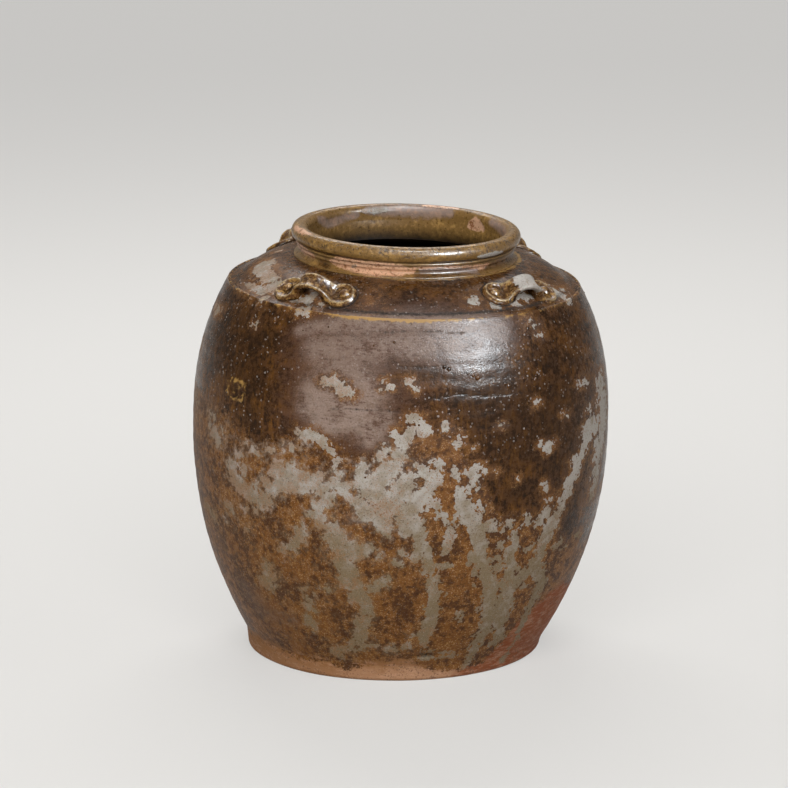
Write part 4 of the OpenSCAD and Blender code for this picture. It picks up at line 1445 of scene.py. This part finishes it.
def bead_places():
    draw = random.Random(4)
    beads = list(BEADS)
    for _ in range(90):
        beads.append((draw.uniform(-180, 180), draw.uniform(165, 288), draw.uniform(0.45, 1.0)))
    return beads


def beads_piece(finish):
    beads = bead_places()
    points, facing = [], []
    for azimuth, z, _ in beads:
        a = math.radians(azimuth)
        here, above = wall_pt(z), wall_pt(z + 0.1)
        step = (above[0] - here[0], above[1] - here[1])
        size = math.hypot(*step)
        out = (step[1] / size, -step[0] / size)
        r = here[0] - 0.7
        points.append((r * math.sin(a), -r * math.cos(a), z))
        facing.append((out[0] * math.sin(a), -out[0] * math.cos(a), out[1]))
    facing = stand(np.array(facing)) / MM + np.array([AXIS_SHIFT, 0, 0])
    seed = bpy.data.meshes.new("bead_places")
    seed.from_pydata([tuple(p) for p in stand(np.array(points))], [], [])
    give(seed, "size", [size for _, _, size in beads])
    field = seed.attributes.new("facing", "FLOAT_VECTOR", "POINT")
    field.data.foreach_set("vector", facing.astype(np.float32).ravel())
    inputs = {"Bead Radius": MM, "Flatness": 0.6, "Segments": 12, "Glaze": finish}
    piece = grown("glaze_beads", seed, tree_named("set_beads", bead_tree), inputs)
    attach(piece, "root")
    return piece


# What a user can change


def tint(name, description, colour):
    return FloatVectorProperty(
        name=name, description=description, subtype="COLOR", size=3, min=0.0, max=1.0, default=colour
    )


class JarTints(bpy.types.PropertyGroup):
    brown: tint("Brown glaze", "The brown glaze of the belly", (0.107, 0.045, 0.012))
    dark_brown: tint("Dark brown glaze", "The brown glaze where it is thick", (0.032, 0.015, 0.006))
    # The darkest glaze also serves as painted shade: in the throat, inside the jar, under the rolled rim, round the lug
    # ends and above the ledge.
    soot: tint("Darkest glaze", "Glaze pooled in grooves and pits", (0.011, 0.007, 0.004))
    streak: tint("Amber runs", "Thin amber runs in the brown glaze", (0.181, 0.076, 0.014))
    amber: tint("Amber glaze", "Amber grains of the lower belly", (0.27, 0.127, 0.036))
    gold: tint("Golden glaze", "Thick glaze on the rim, the ledge and the lugs", (0.503, 0.296, 0.089))
    olive: tint("Olive glaze", "Thin olive glaze on the neck", (0.231, 0.13, 0.04))
    rust: tint("Rust", "Rusty glaze of the lower belly", (0.19, 0.077, 0.02))
    dark_rust: tint("Dark rust", "The ground between the rusty grains", (0.08, 0.034, 0.013))
    plum: tint("Plum brown", "The darker tone of the wiped glaze", (0.107, 0.054, 0.034))
    # The pale mauve tone is partly a painted sheen.
    mauve: tint("Mauve", "The paler tone of the wiped glaze", (0.32, 0.235, 0.192))
    ash: tint("Ash", "The pale crust", (0.308, 0.26, 0.2))
    pale_ash: tint("Pale ash", "The crust where it is thick", (0.44, 0.408, 0.37))
    olive_ash: tint("Olive ash", "The crust near the foot", (0.22, 0.16, 0.09))
    speck: tint("Specks", "Small pale specks in the brown glaze", (0.434, 0.371, 0.332))
    clay: tint("Clay", "Bare fired clay", (0.3, 0.145, 0.06))
    salmon: tint("Salmon clay", "Bare clay where it is rubbed", (0.658, 0.392, 0.246))
    red_clay: tint("Red clay", "Bare clay on the warmer side", (0.238, 0.068, 0.021))
    # The cream of the lug ridges is a painted highlight.
    cream: tint("Cream", "Glaze on the ridges of the lugs", (0.552, 0.445, 0.27))


class JarSizes(bpy.types.PropertyGroup):
    steps_round: IntProperty(
        name="Steps round", description="Steps round the belly", default=700, min=96, max=720
    )
    neck_steps: IntProperty(
        name="Neck steps", description="Steps round the neck", default=520, min=96, max=720
    )
    lamp_size: FloatProperty(
        name="Lamp size", description="Width of the soft lamp", default=0.9, unit="LENGTH"
    )
    camera_distance: FloatProperty(
        name="Camera distance", description="From the camera to the jar", default=4.2, unit="LENGTH"
    )


def tints():
    return bpy.context.scene.jar_tints


def sizes():
    return bpy.context.scene.jar_sizes


class JAR_OT_stage(bpy.types.Operator):
    """Adds the camera, the soft lamps, the pale floor and the plain background"""

    bl_idname = "jar.stage"
    bl_label = "Stage"

    def execute(self, context):
        add_camera(context.scene)
        add_lamps()
        add_floor()
        add_world(context.scene)
        return {"FINISHED"}


class JAR_OT_foot(bpy.types.Operator):
    """Makes the level foot slab of bare clay"""

    bl_idname = "jar.foot"
    bl_label = "Foot"

    def execute(self, context):
        steps = sizes().neck_steps
        finish = foot_finish(tints())
        wall_piece("foot_clay", slab_rows(), steps, finish, ["base_slab"], lean=False)
        return {"FINISHED"}


class JAR_OT_walls(bpy.types.Operator):
    """Makes the lower wall, the upper wall with its ledge, and the domed shoulder"""

    bl_idname = "jar.walls"
    bl_label = "Walls"

    def execute(self, context):
        steps = sizes().steps_round
        finish = body_finish(tints())
        for name, rows, nodes in (
            ("lower_belly", lower_rows(), ["lower_wall"]),
            ("upper_belly", upper_rows(), ["upper_wall"]),
            ("domed_shoulder", shoulder_rows(), ["shoulder"]),
        ):
            wall_piece(name, rows, steps, finish, nodes, shoulder=nodes[0] == "shoulder")
        return {"FINISHED"}


class JAR_OT_neck(bpy.types.Operator):
    """Makes the concave collar and the rolled rim"""

    bl_idname = "jar.neck"
    bl_label = "Neck"

    def execute(self, context):
        steps = sizes().neck_steps
        finish = neck_finish(tints())
        wall_piece("glazed_collar", collar_rows(), steps, finish, ["collar"], neck=True)
        wall_piece("rolled_rim", rim_rows(), steps, finish, ["rim"], neck=True)
        return {"FINISHED"}


class JAR_OT_lugs(bpy.types.Operator):
    """Makes the four thumbed strap lugs and the two pellets on each"""

    bl_idname = "jar.lugs"
    bl_label = "Lugs"

    def execute(self, context):
        finish = lug_finish(tints())
        for name, place in LUGS.items():
            lug_piece(name, place, finish)
            pellet_piece(name + "_pellet_left", place, -1, finish)
            pellet_piece(name + "_pellet_right", place, 1, finish)
        return {"FINISHED"}


class JAR_OT_beads(bpy.types.Operator):
    """Sets small beads of glaze on the belly"""

    bl_idname = "jar.beads"
    bl_label = "Glaze beads"

    def execute(self, context):
        beads_piece(fired("jar_bead_glaze", lambda board, place: brown_coat(board, place, tints())))
        return {"FINISHED"}


class JAR_PT_panel(bpy.types.Panel):
    """Lists the pieces of the jar, in the order in which they are made"""

    bl_label = "Stoneware jar"
    bl_idname = "JAR_PT_panel"
    bl_space_type = "VIEW_3D"
    bl_region_type = "UI"
    bl_category = "Jar"

    def draw(self, context):
        column = self.layout.column(align=True)
        for name in STEPS:
            column.operator("jar." + name)
        box = self.layout.box()
        for name in JarTints.__annotations__:
            box.prop(context.scene.jar_tints, name)
        for name in JarSizes.__annotations__:
            box.prop(context.scene.jar_sizes, name)


# The stage


def add_camera(scene):
    """The camera of the photograph: a long lens, a little above the jar."""
    data = bpy.data.cameras.new("photo_camera")
    data.sensor_width = 36.0
    data.lens = 241.53
    data.clip_end = 50.0
    camera = bpy.data.objects.new("photo_camera", data)
    bpy.context.collection.objects.link(camera)
    down = math.radians(14.06)
    away = sizes().camera_distance
    camera.location = (-0.00535, -away * math.cos(down), 0.170 + away * math.sin(down))
    camera.rotation_euler = (math.radians(90.0 - 13.622), 0.0, 0.0)
    scene.camera = camera


def add_lamp(name, place, aim, width, height, watts, shine_only=False):
    data = bpy.data.lights.new(name, "AREA")
    data.shape = "RECTANGLE"
    data.size, data.size_y = width, height
    data.energy = watts
    data.color = (0.88, 0.95, 1.0) if shine_only else (1.0, 1.0, 1.0)
    lamp = bpy.data.objects.new(name, data)
    bpy.context.collection.objects.link(lamp)
    lamp.location = place
    lamp.rotation_euler = (Vector(aim) - Vector(place)).to_track_quat("-Z", "Y").to_euler()
    lamp.visible_diffuse = not shine_only
    return lamp


def add_lamps():
    middle = (0.0, 0.0, 0.2)
    wide = sizes().lamp_size
    window = (0.996, -1.01, 1.05)
    add_lamp("window_shine", window, (0.05, -0.14, 0.28), wide * 0.48, wide * 0.34, 210.0, True)
    add_lamp("rim_shine", (0.15, -0.5, 1.75), (0.0, -0.08, 0.34), 0.9, 0.14, 46.0, True)
    add_lamp("front_lamp", (-0.1, -1.9, 1.5), middle, wide * 2.0, wide * 1.0, 38.0)
    add_lamp("back_lamp", (-0.1, 1.25, 1.5), (0.0, 0.0, 0.34), 1.3, 0.35, 20.0)


def add_floor():
    """A pale floor that shows its own tone to the camera and keeps the jar's shadow."""
    mesh = bpy.data.meshes.new("floor")
    half = 9.0
    corners = [(-half, -half, 0), (half, -half, 0), (half, half, 0), (-half, half, 0)]
    mesh.from_pydata(corners, [], [(0, 1, 2, 3)])
    floor = bpy.data.objects.new("floor", mesh)
    bpy.context.collection.objects.link(floor)
    material = bpy.data.materials.new("pale_floor")
    material.use_nodes = True
    material.node_tree.nodes.clear()
    board = Board(material.node_tree)
    lit = board.add("ShaderNodeBsdfDiffuse", None, {"Color": (0.62, 0.605, 0.58, 1.0)})
    own = board.add("ShaderNodeEmission", None, {"Color": (0.96, 0.955, 0.94, 1.0), "Strength": 1.0})
    shown = seen_directly(board) * 0.5
    both = board.add("ShaderNodeMixShader", None, {0: shown, 1: lit, 2: own})
    board.add("ShaderNodeOutputMaterial", None, {"Surface": both}, out=None)
    mesh.materials.append(material)


def seen_directly(board):
    """1 where the camera sees a surface straight, in a reflection or through glass."""
    total = board.add("ShaderNodeLightPath", out="Is Camera Ray")
    for name in ("Is Glossy Ray", "Is Transmission Ray"):
        ray = board.add("ShaderNodeLightPath", out=name)
        total = board.add("ShaderNodeMath", {"operation": "MAXIMUM"}, {0: total, 1: ray})
    return total


def add_world(scene):
    """A plain world of a warm white, which lights the object with a dim, even light."""
    world = bpy.data.worlds.new("plain_background")
    world.use_nodes = True
    tree = world.node_tree
    tree.nodes.clear()
    board = Board(tree)
    light = board.add(
        "ShaderNodeBackground", None, {"Color": (1.0, 0.94, 0.87, 1.0), "Strength": 0.27}
    )
    board.add("ShaderNodeOutputWorld", None, {"Surface": light}, out=None)
    scene.world = world
    scene.view_settings.view_transform = "Standard"


STEPS = ("stage", "foot", "walls", "neck", "lugs", "beads")
CLASSES = (
    JarTints,
    JarSizes,
    JAR_OT_stage,
    JAR_OT_foot,
    JAR_OT_walls,
    JAR_OT_neck,
    JAR_OT_lugs,
    JAR_OT_beads,
    JAR_PT_panel,
)


def register():
    for cls in CLASSES:
        bpy.utils.register_class(cls)
    bpy.types.Scene.jar_tints = bpy.props.PointerProperty(type=JarTints)
    bpy.types.Scene.jar_sizes = bpy.props.PointerProperty(type=JarSizes)


def unregister():
    del bpy.types.Scene.jar_sizes
    del bpy.types.Scene.jar_tints
    for cls in reversed(CLASSES):
        bpy.utils.unregister_class(cls)


def main():
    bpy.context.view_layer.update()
    register()
    for name in STEPS:
        getattr(bpy.ops.jar, name)()


if __name__ == "__main__":
    main()
